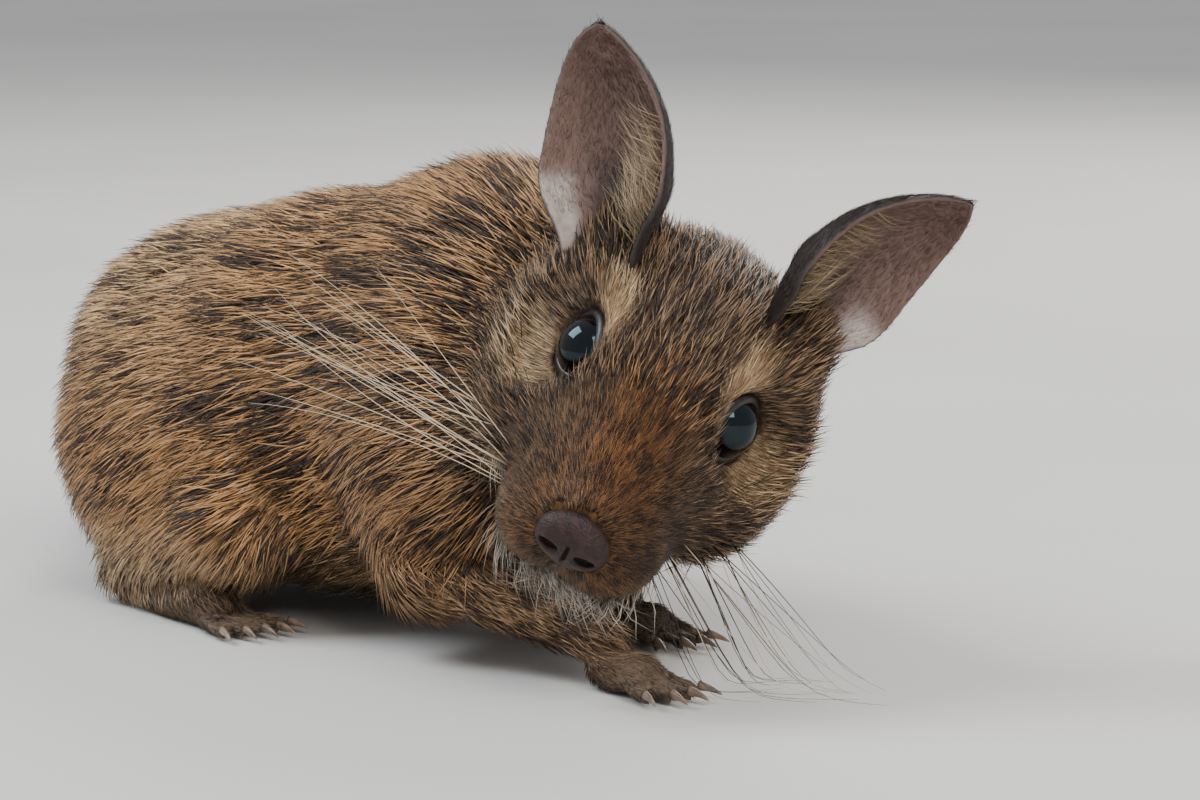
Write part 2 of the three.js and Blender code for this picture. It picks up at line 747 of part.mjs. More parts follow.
const hindToes = (side) => {
  const [x, y] = HIND_FOOT.ball;
  return toePlaces(HIND_TOES.toes, [x + 1.5, y * side], HIND_TOES.toeLength, HIND_TOES.spread, 6);
};

function withToes(solid, places) {
  const toes = places.map(({ start, end }) => taperedToe(start, end, TOE_RADIUS.root, TOE_RADIUS.tip));
  return toes.reduce((foot, toe) => foot.add(toe), solid).subtract(belowFloor);
}

const capitalised = (name) => name[0].toUpperCase() + name.slice(1);

function forepawSolid(name) {
  const piece = `forepaw${capitalised(name)}`;
  const palm = fleshSolid(piece, STEPS.paw).intersect(wristCut(FORELEGS[name], GAP / 2));
  return withToes(palm, forepawToes(name));
}

function hindFootSolid(name) {
  const piece = `hindFoot${capitalised(name)}`;
  const sole = fleshSolid(piece, STEPS.foot).intersect(ownSpace(piece));
  return withToes(sole, hindToes(SIDES[name]));
}

function forelegSolid(name) {
  const piece = `foreleg${capitalised(name)}`;
  const leg = fleshSolid(piece, STEPS.foreleg).intersect(ownSpace(piece));
  return leg.subtract(wristCut(FORELEGS[name], -GAP / 2)).subtract(belowFloor);
}

function hindLegSolid(name) {
  const piece = `hindLeg${capitalised(name)}`;
  const leg = fleshSolid(piece, STEPS.leg).intersect(ownSpace(piece));
  return clearedOf(leg, [`hindFoot${capitalised(name)}`]).subtract(belowFloor);
}

// Neck, trunk and tail

function neckSolid() {
  let neck = fleshSolid('neck', STEPS.neck).intersect(neckCut(GAP / 2));
  for (const foreleg of Object.values(FORELEGS)) neck = neck.subtract(wristCut(foreleg, -GAP / 2));
  return clearedOf(neck, ['head', 'forelegRight', 'forelegLeft']).subtract(belowFloor);
}

function trunkSolid() {
  let trunk = fleshSolid('trunk', STEPS.trunk);
  trunk = clearedOf(trunk, Object.keys(territories).filter((name) => name !== 'nose'));
  for (const foreleg of Object.values(FORELEGS)) trunk = trunk.subtract(wristCut(foreleg, -GAP / 2));
  return trunk.subtract(neckCut(-GAP / 2)).subtract(tailCut(-GAP / 2)).subtract(belowFloor);
}

function tailRing(t, sides) {
  const centre = tailCurve.getPoint(t);
  const along = tailCurve.getTangent(t);
  const sideways = new THREE.Vector3(0, 0, 1).cross(along).normalize();
  const up = along.clone().cross(sideways);
  return Array.from({ length: sides }, (_, n) => {
    const angle = (2 * Math.PI * n) / sides;
    return centre.clone()
      .addScaledVector(sideways, tailRadius(t) * Math.cos(angle))
      .addScaledVector(up, tailRadius(t) * Math.sin(angle));
  });
}

function tailLength(from, to, rings) {
  const sides = 10;
  const trim = GAP / 2 / tailCurve.getLength();
  const start = from + trim;
  const end = to < 1 ? to - trim : 1;
  const positions = [];
  for (let i = 0; i < rings; i += 1) {
    const t = THREE.MathUtils.lerp(start, end, i / (rings - 1));
    for (const point of tailRing(t, sides)) positions.push(...point.toArray());
  }
  const first = positions.length / 3;
  positions.push(...tailCurve.getPoint(start).toArray(), ...tailCurve.getPoint(end).toArray());
  const index = [];
  for (let n = 0; n < sides; n += 1) {
    const next = (n + 1) % sides;
    index.push(first, next, n);
    const last = (rings - 1) * sides;
    index.push(first + 1, last + n, last + next);
    for (let i = 0; i < rings - 1; i += 1) {
      const a = i * sides;
      index.push(a + n, a + next, a + sides + next, a + n, a + sides + next, a + sides + n);
    }
  }
  const geometry = facesToGeometry(positions, index);
  if (signedVolume(geometry) < 0) flipFaces(geometry);
  return toSolid(geometry).subtract(belowFloor);
}

// The animal, each piece a named mesh

const body = new THREE.Group();
body.add(headFrame);

function addPiece(name, solid, look) {
  const mesh = new THREE.Mesh(toGeometry(solid), new THREE.MeshStandardMaterial(look));
  mesh.name = name;
  body.add(mesh);
  return mesh;
}

function addEye(name, side) {
  const eye = eyeMesh(side);
  eye.name = name;
  eye.material = new THREE.MeshStandardMaterial(EYE);
  headFrame.add(eye);
}

addPiece('trunk', trunkSolid(), COAT);
addPiece('neck', neckSolid(), COAT);
addPiece('head', headSolid(), FACE);
addPiece('nose', noseSolid(), NOSE_SKIN);
const headWithGap = toSolid(fieldSurface((x, y, z) => bodyField(x, y, z) - GAP, BOXES.head, STEPS.head));
for (const [name, side] of Object.entries(SIDES)) {
  addEye(`eye_${name}`, side);
  addPiece(`ear_${name}`, earSolid(EARS[name], headWithGap), EAR_SKIN);
  addPiece(`foreleg_${name}`, forelegSolid(name), COAT);
  addPiece(`forepaw_${name}`, forepawSolid(name), PALE_FUR);
  addPiece(`hind_leg_${name}`, hindLegSolid(name), COAT);
  addPiece(`hind_foot_${name}`, hindFootSolid(name), PALE_FUR);
  forepawToes(name).forEach((toe, n) => addPiece(`claw_fore_${name}_${n + 1}`, clawSolid(toe), CLAW_HORN));
  hindToes(side).forEach((toe, n) => addPiece(`claw_hind_${name}_${n + 1}`, clawSolid(toe), CLAW_HORN));
}
addPiece('tail_base', tailLength(TAIL_CUTS.root, TAIL_CUTS.middle, 6), COAT);
addPiece('tail_middle', tailLength(TAIL_CUTS.middle, TAIL_CUTS.tuft, 6), COAT);
addPiece('tail_tuft', tailLength(TAIL_CUTS.tuft, 1, 8), TUFT);

// The origin is under the middle of the animal, on the floor

body.updateMatrixWorld(true);
const bounds = new THREE.Box3().setFromObject(body, true);
const middle = bounds.getCenter(new THREE.Vector3());
body.position.set(-middle.x, -middle.y, 0);

const group = new THREE.Group();
group.add(body);

export default group;
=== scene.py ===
# A life-size degu in its coat, lying low with its head turned and tipped.
# Shapes are worked out in millimetres in the body's own frame: +X front, +Y left, +Z up,
# floor at z = 0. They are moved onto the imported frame, in metres, when a piece is made.
import math

import bmesh
import bpy
import numpy as np
from mathutils import Euler, Matrix, Vector


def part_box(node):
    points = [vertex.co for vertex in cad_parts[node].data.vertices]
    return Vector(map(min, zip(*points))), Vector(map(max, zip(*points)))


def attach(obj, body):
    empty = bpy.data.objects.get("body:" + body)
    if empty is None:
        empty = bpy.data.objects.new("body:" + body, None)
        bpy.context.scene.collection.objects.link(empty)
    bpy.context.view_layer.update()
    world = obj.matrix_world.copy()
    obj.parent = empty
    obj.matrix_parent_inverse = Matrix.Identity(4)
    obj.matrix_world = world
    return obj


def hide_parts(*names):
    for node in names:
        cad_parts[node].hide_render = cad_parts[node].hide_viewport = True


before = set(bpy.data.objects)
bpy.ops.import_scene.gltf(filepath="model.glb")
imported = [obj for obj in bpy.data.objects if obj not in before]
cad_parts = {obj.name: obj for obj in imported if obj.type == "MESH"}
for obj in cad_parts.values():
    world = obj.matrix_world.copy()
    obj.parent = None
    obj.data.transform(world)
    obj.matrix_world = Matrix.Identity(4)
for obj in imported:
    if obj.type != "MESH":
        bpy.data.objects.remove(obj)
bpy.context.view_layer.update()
random = np.random.default_rng(11)
MM = 0.001
RIGHT, LEFT = -1, 1

# Body, out to the tips of the coat

RUMP = ((-34, 0, 28), (29, 27, 26))
BELLY = ((-4, 0, 30.5), (37, 30.5, 29))
CHEST = ((21, 0, 35.5), (27, 25, 29))
SHOULDER = ((30, 16, 28), (16, 11, 18))
NECK = ((30, 0, 37), (54, 3, 41), 22, 15.5)
HEAD_AT = np.array([67.7, -11.1, 39.5])
HEAD_TURN, HEAD_DROP, HEAD_TILT = -60, 25.3, -31.8
EYE_RADIUS, EYE_DEPTH = 4.6, 4.2
EYE_SURFACE = np.array([0, 12.9, 0])
EYE_LOOK = np.array([0.42, 0.85, 0.3])
EYE_DISH_DISTANCE, EYE_DISH_RADIUS = 9.2, 8.4
NOSE = ((24.2, 0, -8.4), (2.2, 4.4, 3.3))
NOSE_REACH, NOSE_GRID = 6.5, 0.24
FORELEGS = {
    RIGHT: ((28, -16, 27), (30, -18, 13), (58, -12, 6)),
    LEFT: ((28, 16, 27), (22, 18, 12), (33, 11.5, 5.5)),
}
SHOULDER_RADIUS, ELBOW_RADIUS, WRIST_RADIUS = 11, 7, 3.9
PALM_RADII, PALM_HEIGHT, PALM_REACH = (6.5, 4.4, 3.2), 2.6, 4.5
THIGH = ((-22, 21, 21), (25, 13, 19))
SHIN = ((-2, 26, 15), (-29, 25, 6), 8.5, 5)
HIND_FOOT = ((-30, 25, 3.4), (-7, 27, 3.5), 4.0, 4.3)
TOE_ROOT_RADIUS, TOE_TIP_RADIUS = 1.6, 1.15
TAIL_PATH = [
    (-50, 0, 19), (-60, 1, 11), (-73, 4, 4.6), (-89, 13, 3.3), (-103, 27, 3.3), (-111, 43, 3.9),
    (-114, 63, 3),
]
TAIL_RADII = (6.5, 5.2, 4, 3.5, 3.5, 4.6, 1.2)

EAR_HALF_WIDTH, EAR_TURN, EAR_ROOT = 7.7, 50, -0.3
EAR_ROOT_ARC, EAR_TIP_ARC, EAR_BOW, EAR_SHIFT = 82, 40, 1.8, 0.3
EAR_ROWS, EAR_COLUMNS, EAR_THICKNESS, EAR_THINNING = 44, 36, 0.75, 0.45
EARS = {
    RIGHT: ((-13.4, 17.3, 10.6), (-19.6, 27.9, 30.3), (0.9, 0.43, -0.07)),
    LEFT: ((-17.1, 14, 10.5), (-25.1, 23.2, 29.7), (0.74, 0.68, -0.02)),
}


def unit(v):
    v = np.asarray(v, float)
    return v / np.maximum(np.linalg.norm(v, axis=-1, keepdims=True), 1e-9)


def smooth(low, high, x):
    t = np.clip((x - low) / (high - low), 0, 1)
    return t * t * (3 - 2 * t)


def mix(a, b, share):
    return a * (1 - share) + b * share


HEAD_TURNS = Euler([math.radians(a) for a in (HEAD_TILT, HEAD_DROP, HEAD_TURN)], "XYZ")
HEAD_AXES = np.array(HEAD_TURNS.to_matrix()).T
EYE_FORWARD = unit(EYE_LOOK)
EYE_CENTRE = EYE_SURFACE - EYE_DEPTH * EYE_FORWARD


def to_head(p):
    return (p - HEAD_AT) @ HEAD_AXES.T


def laid(ways, up):
    """The ways, laid flat on the surface that faces up."""
    return unit(ways - up * np.sum(ways * up, axis=1, keepdims=True))


def from_head(q):
    return HEAD_AT + np.asarray(q, float) @ HEAD_AXES


def mirror(q, side):
    return np.asarray(q, float) * (1, side, 1)


# Fields: negative inside, positive outside, in about millimetres

def folded(p):
    q = p.copy()
    q[:, 1] = np.abs(q[:, 1])
    return q


def ellipsoid(p, centre, radii):
    radii = np.asarray(radii, float)
    q = (p - np.asarray(centre, float)) / radii
    scaled = np.linalg.norm(q, axis=1)
    return scaled * (scaled - 1) / np.maximum(np.linalg.norm(q / radii, axis=1), 1e-9)


def cone(p, start, end, start_radius, end_radius):
    start = np.asarray(start, float)
    along = np.asarray(end, float) - start
    t = np.clip((p - start) @ along / (along @ along), 0, 1)
    radius = start_radius + (end_radius - start_radius) * t
    return np.linalg.norm(p - start - t[:, None] * along, axis=1) - radius


def blend(a, b, width):
    h = np.clip(0.5 + 0.5 * (b - a) / width, 0, 1)
    return b + (a - b) * h - width * h * (1 - h)


def head_field(p):
    q = to_head(p)
    m = folded(q)
    head = ellipsoid(q, (-10, 0, -2), (18, 16.5, 13.6))
    lumps = (
        (ellipsoid(q, (4, 0, -4.5), (16, 12.5, 11.5)), 6),
        (cone(q, (4, 0, -5), (17.5, 0, -8.5), 11, 8), 5),
        (ellipsoid(m, (15.5, 4.6, -12), (8.5, 6.4, 6.6)), 3),
        (cone(q, (0, 0, -14), (13, 0, -18), 9, 5), 4),
        (ellipsoid(m, (-4, 10, -9), (16, 11, 13)), 5),
        (ellipsoid(m, (-12, 9, -8), (13, 11, 13)), 5),
        (ellipsoid(m, (-16, 12, 4), (6, 6, 6.5)), 4),
    )
    for lump, width in lumps:
        head = blend(head, lump, width)
    dish = ellipsoid(m, EYE_CENTRE + EYE_DISH_DISTANCE * EYE_FORWARD, [EYE_DISH_RADIUS] * 3)
    head = -blend(-head, dish, 2.5)
    return blend(head, ellipsoid(q, *NOSE), 1.5)


def trunk_field(p):
    trunk = blend(ellipsoid(p, *RUMP), ellipsoid(p, *BELLY), 10)
    trunk = blend(trunk, ellipsoid(p, *CHEST), 10)
    return blend(trunk, ellipsoid(folded(p), *SHOULDER), 8)


def foreleg_field(p, side):
    shoulder, elbow, wrist = FORELEGS[side]
    upper = cone(p, shoulder, elbow, SHOULDER_RADIUS, ELBOW_RADIUS)
    return blend(upper, cone(p, elbow, wrist, ELBOW_RADIUS - 0.5, WRIST_RADIUS), 4)


def toe_places(count, x, y, length, spread, root_spread):
    places = []
    for n in range(count):
        share = (n - (count - 1) / 2) / ((count - 1) / 2)
        start = np.array([x, y + share * root_spread / 2, 2.1])
        end = np.array([x + length - 1.8 * share * share, y + share * spread / 2, 1.05])
        places.append((start, end))
    return places


def fore_toes(side):
    x, y, _ = FORELEGS[side][2]
    return toe_places(4, x + 8.5, y, 7, 9, 5.6)


def hind_toes(side):
    x, y, _ = HIND_FOOT[1]
    return toe_places(5, x + 1.5, y * side, 10.5, 11, 6)


def nearest_cone(p, cones):
    field = np.full(len(p), 60.0)
    for ends_and_radii in cones:
        field = np.minimum(field, cone(p, *ends_and_radii))
    return field


def toes_field(p, places):
    return nearest_cone(p, [(*place, TOE_ROOT_RADIUS, TOE_TIP_RADIUS) for place in places])


def forepaw_field(p, side):
    x, y, _ = FORELEGS[side][2]
    palm = ellipsoid(p, (x + PALM_REACH, y, PALM_HEIGHT), PALM_RADII)
    return blend(palm, toes_field(p, fore_toes(side)), 0.8)


def hind_leg_field(p):
    m = folded(p)
    return blend(ellipsoid(m, *THIGH), cone(m, *SHIN), 4)


def hind_foot_field(p):
    m = folded(p)
    return blend(cone(m, *HIND_FOOT), toes_field(m, hind_toes(LEFT)), 0.8)


def curve_points(points, count):
    """A smooth curve through the points, as count places, and each one's share of the way."""
    knots = np.asarray(points, float)
    ends = np.vstack([2 * knots[0] - knots[1], knots, 2 * knots[-1] - knots[-2]])
    share = np.linspace(0, len(knots) - 1, count)
    i = np.minimum(share.astype(int), len(knots) - 2)
    t = (share - i)[:, None]
    a, b, c, d = ends[i], ends[i + 1], ends[i + 2], ends[i + 3]
    square, cube = 2 * a - 5 * b + 4 * c - d, 3 * b - a - 3 * c + d
    curve = 0.5 * (2 * b + (c - a) * t + square * t**2 + cube * t**3)
    return curve, share / (len(knots) - 1)


TAIL_CURVE, TAIL_SHARE = curve_points(TAIL_PATH, 25)
TAIL_RADIUS = np.interp(TAIL_SHARE, np.linspace(0, 1, len(TAIL_RADII)), TAIL_RADII)


def tail_field(p):
    return nearest_cone(p, zip(TAIL_CURVE, TAIL_CURVE[1:], TAIL_RADIUS, TAIL_RADIUS[1:]))


def part_fields(p):
    return {
        "trunk": trunk_field(p),
        "neck": cone(p, *NECK),
        "head": head_field(p),
        "hind_leg": hind_leg_field(p),
        "fore_right": foreleg_field(p, RIGHT),
        "fore_left": foreleg_field(p, LEFT),
        "hind_foot": hind_foot_field(p),
        "paw_right": forepaw_field(p, RIGHT),
        "paw_left": forepaw_field(p, LEFT),
        "tail": tail_field(p),
    }


BLEND_WIDTHS = {
    "hind_leg": 7, "fore_right": 5, "fore_left": 5, "neck": 12, "head": 7, "hind_foot": 2, "tail": 4,
    "paw_right": 2, "paw_left": 2,
}


def coat_field(fields):
    body = fields["trunk"]
    for name, width in BLEND_WIDTHS.items():
        body = blend(body, fields[name], width)
    return body


def part_weights(fields, softness=2.5):
    stack = np.stack([fields[name] for name in PARTS])
    weights = np.exp(-(stack - stack.min(axis=0)) / softness)
    weights /= weights.sum(axis=0)
    return dict(zip(PARTS, weights))


# Coat: how deep it is, how long its hairs are, and which way they lie

# For each part its coat's depth, and its hairs' length and width
COAT = {
    "trunk": (2.3, 9, 0.32),
    "neck": (2.1, 7.5, 0.29),
    "head": (0.9, 4.8, 0.2),
    "hind_leg": (1.9, 7, 0.3),
    "fore_right": (1.2, 4.5, 0.24),
    "fore_left": (1.2, 4.5, 0.24),
    "hind_foot": (0.35, 1.5, 0.14),
    "paw_right": (0.35, 1.3, 0.14),
    "paw_left": (0.35, 1.3, 0.14),
    "tail": (1.0, 3.2, 0.18),
}
PARTS = tuple(COAT)
DEPTH, LENGTH, WIDTH = range(3)
NOSE_TIP = np.array([25.5, 0, -9])
TUFT_START = 0.66


def coat_measure(weights, which):
    return sum(weights[name] * COAT[name][which] for name in PARTS)


def muzzle_share(q):
    """1 on the end of the muzzle, falling to 0 behind the whisker pads."""
    return smooth(6, 19, q[:, 0])


def eye_distance(q):
    """Millimetres over the skin from the middle of the nearer eye."""
    return np.linalg.norm(folded(q) - EYE_SURFACE, axis=1)


def tail_place(p):
    """How far along the tail each point is, and which way the tail runs there."""
    away = np.linalg.norm(p[:, None, :] - TAIL_CURVE[None], axis=2)
    nearest = away.argmin(axis=1)
    runs = unit(np.gradient(TAIL_CURVE, axis=0))
    return TAIL_SHARE[nearest], runs[nearest]


def coat_depth(p, weights):
    q = to_head(p)
    depth = coat_measure(weights, DEPTH)
    face = weights["head"]
    bare = np.maximum(muzzle_share(q), 1 - smooth(5.5, 9, eye_distance(q)))
    depth = depth * (1 - face * bare) + 0.3 * face * bare
    share, _ = tail_place(p)
    brush = smooth(TUFT_START, TUFT_START + 0.15, share) * (1 - smooth(0.9, 1, share))
    return depth + weights["tail"] * 1.6 * brush


def hair_length(p, weights):
    q = to_head(p)
    length = coat_measure(weights, LENGTH)
    face = weights["head"]
    near_eye = 1 - smooth(4.5, 10, eye_distance(q))
    short = np.maximum(0.64 * muzzle_share(q), 0.72 * near_eye)
    length = length * (1 - face * short)
    share, _ = tail_place(p)
    return length + weights["tail"] * 8 * smooth(TUFT_START, TUFT_START + 0.12, share)


def hair_lie(p, weights):
    """The way the hair points, before it is laid on the skin."""
    q = to_head(p)
    body = np.tile([-1.0, 0.0, 0.0], (len(p), 1))
    body[:, 2] = -0.35 * np.clip(np.abs(p[:, 1]) / 28, 0, 1)
    haunch = np.tile([-0.75, 0.0, -0.6], (len(p), 1))
    away = unit(q - NOSE_TIP + (0, 0, -1.5))
    head = away @ HEAD_AXES
    _, tail = tail_place(p)
    lie = body * weights["trunk"][:, None] + haunch * weights["hind_leg"][:, None]
    lie += (0.75 * body + 0.25 * head) * weights["neck"][:, None] + head * weights["head"][:, None]
    for side, leg, paw in ((RIGHT, "fore_right", "paw_right"), (LEFT, "fore_left", "paw_left")):
        _, elbow, wrist = FORELEGS[side]
        down = unit(np.subtract(wrist, elbow))
        lie += down * weights[leg][:, None] + np.array([1, 0, -0.1]) * weights[paw][:, None]
    lie += np.array([1.0, 0, -0.1]) * weights["hind_foot"][:, None] + tail * weights["tail"][:, None]
    return unit(lie)


# Skin: the coat's field drawn in by the coat's depth

GRID = 1.15
GRID_LOW, GRID_HIGH = np.array([-120.0, -38, -3]), np.array([92.0, 70, 82])


def skin_field(p):
    fields = part_fields(p)
    return coat_field(fields) + coat_depth(p, part_weights(fields))


def in_blocks(function, p, block=60000):
    return np.concatenate([function(p[i:i + block]) for i in range(0, len(p), block)])


def field_surface(field, low, high, step):
    """Points and four-cornered faces on a field's zero surface, one point in each cube it crosses."""
    counts = np.ceil((high - low) / step).astype(int) + 1
    axes = [low[n] + step * np.arange(counts[n]) for n in range(3)]
    points = np.stack(np.meshgrid(*axes, indexing="ij"), axis=-1).reshape(-1, 3)
    values = in_blocks(field, points).reshape(counts)
    inside = values < 0
    cells = counts - 1
    corners, axis_steps = np.array([*np.ndindex(2, 2, 2)]), np.eye(3, dtype=int)
    full = sum(inside[a:a + cells[0], b:b + cells[1], c:c + cells[2]].astype(int) for a, b, c in corners)
    cube = np.argwhere((full > 0) & (full < 8))
    index = -np.ones(cells, int)
    index[tuple(cube.T)] = np.arange(len(cube))
    total, crossings = np.zeros((len(cube), 3)), np.zeros(len(cube))
    for start in corners:
        for end in start + axis_steps[start == 0]:
            a, b = values[tuple((cube + start).T)], values[tuple((cube + end).T)]
            crossed = (a < 0) != (b < 0)
            share = np.where(crossed, a / np.where(crossed, a - b, 1), 0)
            total[crossed] += (start + share[:, None] * (end - start))[crossed]
            crossings[crossed] += 1
    vertices = low + step * (cube + total / crossings[:, None])
    faces = []
    for axis, along in enumerate(axis_steps):
        low_side = inside[tuple(slice(0 if n == axis else 1, counts[n] - 1) for n in range(3))]
        high_side = inside[tuple(slice(1, counts[n] if n == axis else counts[n] - 1) for n in range(3))]
        side, other = np.roll(along, 1), np.roll(along, 2)
        for leaving in (True, False):
            edge = np.argwhere((low_side & ~high_side) if leaving else (~low_side & high_side)) + 1 - along
            ring = [index[tuple((edge - move).T)] for move in (0 * side, side, side + other, other)]
            faces.append(np.stack(ring if leaving else ring[::-1], axis=1))
    return vertices, np.concatenate(faces)


def slope(field, p, step=0.3):
    """The outward direction of a field."""
    parts = [in_blocks(field, p + move) - in_blocks(field, p - move) for move in step * np.eye(3)]
    return unit(np.stack(parts, axis=1))


# Markings and painted light: light and dark hair colours at each place, shared by skin and coat, with the
# trunk's rear end painted lighter as painted light

def srgb(red, green, blue):
    c = np.array([red, green, blue]) / 255
    return np.where(c <= 0.04045, c / 12.92, ((c + 0.055) / 1.055) ** 2.4)


TAN, SABLE = srgb(210, 159, 106), srgb(68, 50, 39)
BELLY_LIGHT, BELLY_DARK = srgb(205, 180, 142), srgb(128, 106, 86)
BRIDGE_LIGHT, BRIDGE_DARK = srgb(166, 112, 64), srgb(50, 34, 24)
CROWN_LIGHT, CROWN_DARK = srgb(154, 124, 94), srgb(46, 36, 31)
CHEEK_LIGHT, CHEEK_DARK = srgb(172, 138, 102), srgb(58, 46, 38)
CREAM, CREAM_DARK = srgb(226, 200, 160), srgb(176, 142, 104)
PAW_LIGHT, PAW_DARK = srgb(158, 140, 122), srgb(86, 72, 62)
# The dark hollow colour of the ear is painted shade, the dark of the ear's recess
EAR_INSIDE, EAR_HOLLOW_SHADE = srgb(116, 93, 84), srgb(40, 30, 27)
EAR_NOTCH, EAR_BACK = srgb(172, 162, 154), srgb(44, 36, 33)
BRUSH_LIGHT, BRUSH_DARK = srgb(52, 42, 36), srgb(18, 14, 12)


def spot(q, centre, radii, soft=0.5):
    """1 inside an ellipse-like spot on the head, fading out at its edge."""
    reach = np.linalg.norm((folded(q) - centre) / np.asarray(radii, float), axis=1)
    return 1 - smooth(1 - soft, 1 + soft, reach)


def whisker_roots(q):
    """1 on the small dark dots in rows over the whisker pads."""
    rows = np.cos(q[:, 0] * math.pi / 1.1) * np.cos((q[:, 2] + 0.4 * q[:, 0]) * math.pi)
    return smooth(0.55, 0.85, rows) * spot(q, (16, 7, -9), (7, 5, 6), 0.25)


def markings_and_painted_light(p, weights):
    q = to_head(p)
    light, dark = np.tile(TAN, (len(p), 1)), np.tile(SABLE, (len(p), 1))

    def paint(share, new_light, new_dark):
        share = np.clip(share, 0, 1)[:, None]
        light[:], dark[:] = mix(light, new_light, share), mix(dark, new_dark, share)

    flesh = weights["trunk"] + weights["hind_leg"]
    paint(smooth(20, 6, p[:, 2]) * flesh * 0.9, BELLY_LIGHT, BELLY_DARK)
    # Painted light: the trunk is painted lighter towards its rear end, standing in for brighter light
    # falling there
    paint(smooth(10, -45, p[:, 0]) * weights["trunk"] * 0.85, srgb(246, 206, 154), srgb(112, 86, 66))
    face = weights["head"] + 0.35 * weights["neck"]
    paint(face, CROWN_LIGHT, CROWN_DARK)
    paint(face * smooth(-2, -11, q[:, 2]) * 0.9, CHEEK_LIGHT, CHEEK_DARK)
    paint(face * spot(q, (13, 0, -1), (14, 6.5, 9)) * 0.95, BRIDGE_LIGHT, BRIDGE_DARK)
    paint(face * spot(q, (20, 4, -9), (6, 5, 6)) * 0.75, BRIDGE_LIGHT, BRIDGE_DARK)
    paint(face * spot(q, (9, 12, -9), (6, 5, 4)) * 0.7, srgb(110, 82, 62), srgb(52, 38, 30))
    paint(face * whisker_roots(q) * 0.75, srgb(60, 44, 34), srgb(30, 22, 18))
    paint(face * spot(q, (0.5, 10, 6.5), (6.5, 2.6, 3.2)) * 0.95, CREAM, CREAM_DARK)
    paint(face * spot(q, (-2, 15, -7), (6, 4, 4.2)) * 0.8, CREAM, CREAM_DARK)
    paint(face * spot(q, (-21, 15, 1), (5, 5, 6)) * 0.8, srgb(224, 196, 148), CREAM_DARK)
    chin = smooth(-17, -22, q[:, 2]) * smooth(-12, 4, q[:, 0])
    paint(face * chin, srgb(205, 196, 182), srgb(120, 106, 94))
    paws = weights["hind_foot"] + weights["paw_right"] + weights["paw_left"]
    paint(paws, PAW_LIGHT, PAW_DARK)
    paint(0.45 * (weights["fore_right"] + weights["fore_left"]), PAW_LIGHT, PAW_DARK)
    share, _ = tail_place(p)
    paint(weights["tail"] * smooth(0.3, 0.68, share), BRUSH_LIGHT, BRUSH_DARK)
    return light, dark


# Meshes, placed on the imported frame

def frame_shift():
    """From the body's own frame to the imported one, read off the right eye, in millimetres."""
    low, high = (np.array(corner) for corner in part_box("eye_right"))
    return (low + high) / 2 / MM - from_head(mirror(EYE_CENTRE, RIGHT))


SHIFT = frame_shift()


def new_object(name, data):
    made = bpy.data.objects.new(name, data)
    bpy.context.scene.collection.objects.link(made)
    return made


def mesh_object(name, points, faces, material, colours=None, uvs=None):
    """A smooth piece from points in millimetres and faces that all have the same number of corners."""
    faces = np.asarray(faces, np.int32)
    count, corners = faces.shape
    mesh = bpy.data.meshes.new(name)
    mesh.vertices.add(len(points))
    mesh.vertices.foreach_set("co", ((points + SHIFT) * MM).astype(np.float32).ravel())
    mesh.loops.add(count * corners)
    mesh.loops.foreach_set("vertex_index", faces.ravel())
    mesh.polygons.add(count)
    mesh.polygons.foreach_set("loop_start", np.arange(0, count * corners, corners, dtype=np.int32))
    mesh.update(calc_edges=True)
    mesh.polygons.foreach_set("use_smooth", np.ones(count, bool))
    if colours is not None:
        layer = mesh.color_attributes.new("coat_colour", "FLOAT_COLOR", "POINT")
        opaque = np.hstack([colours, np.ones((len(points), 1))])
        layer.data.foreach_set("color", opaque.astype(np.float32).ravel())
    if uvs is not None:
        layer = mesh.uv_layers.new(name="OFBake")
        layer.data.foreach_set("uv", uvs[faces.ravel()].astype(np.float32).ravel())
    mesh.materials.append(material)
    mesh.validate()
    piece = new_object(name, mesh)
    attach(piece, "root")
    return piece


def unwrap(p):
    """A place on an unwrap of the skin's own shape: round the body's axis, with the head beside it."""
    q = to_head(p)
    is_head = head_field(p) < np.minimum(trunk_field(p), cone(p, *NECK)) + 1
    around_head = np.arctan2(q[:, 1], q[:, 2] + 5) / (2 * math.pi) + 0.5
    along_head = np.clip((q[:, 0] + 30) / 60, 0, 1)
    around_body = np.arctan2(p[:, 1], p[:, 2] - 24) / (2 * math.pi) + 0.5
    along_body = np.clip((p[:, 0] + 122) / 215, 0, 1)
    u = np.where(is_head, 0.02 + 0.38 * along_head, 0.43 + 0.55 * along_body)
    v = 0.02 + 0.96 * np.where(is_head, around_head, around_body)
    return np.stack([u, v], axis=1)


# Tufts: thin closed spikes rooted in the skin

PATCH = 0.003
PIECE_TRIANGLES = 190000
TRIANGLE = np.array([(math.cos(a), math.sin(a)) for a in (0, 2.094, 4.189)])
LONG_PATCH = np.concatenate([TRIANGLE * 0.5, TRIANGLE * 0.25, np.zeros((1, 2))])
SHORT_PATCH = np.concatenate([TRIANGLE * 0.5, np.zeros((1, 2))])
# Half widths at the root and middle as shares of the width, and how flat a tuft lies
ROOT_SIZE, MIDDLE_SIZE, FLATNESS = 0.5, 0.42, 0.6
# How far over the floor each level of a tuft stays
ROOT_FLOOR, MIDDLE_FLOOR, TIP_FLOOR = 0.02, 0.3, 0.15
SHORT_FACES = np.array([(2, 1, 0), (0, 1, 3), (1, 2, 3), (2, 0, 3)])
LONG_FACES = np.array([
    (2, 1, 0), (0, 1, 4), (0, 4, 3), (1, 2, 5), (1, 5, 4),
    (2, 0, 3), (2, 3, 5), (3, 4, 6), (4, 5, 6), (5, 3, 6),
])


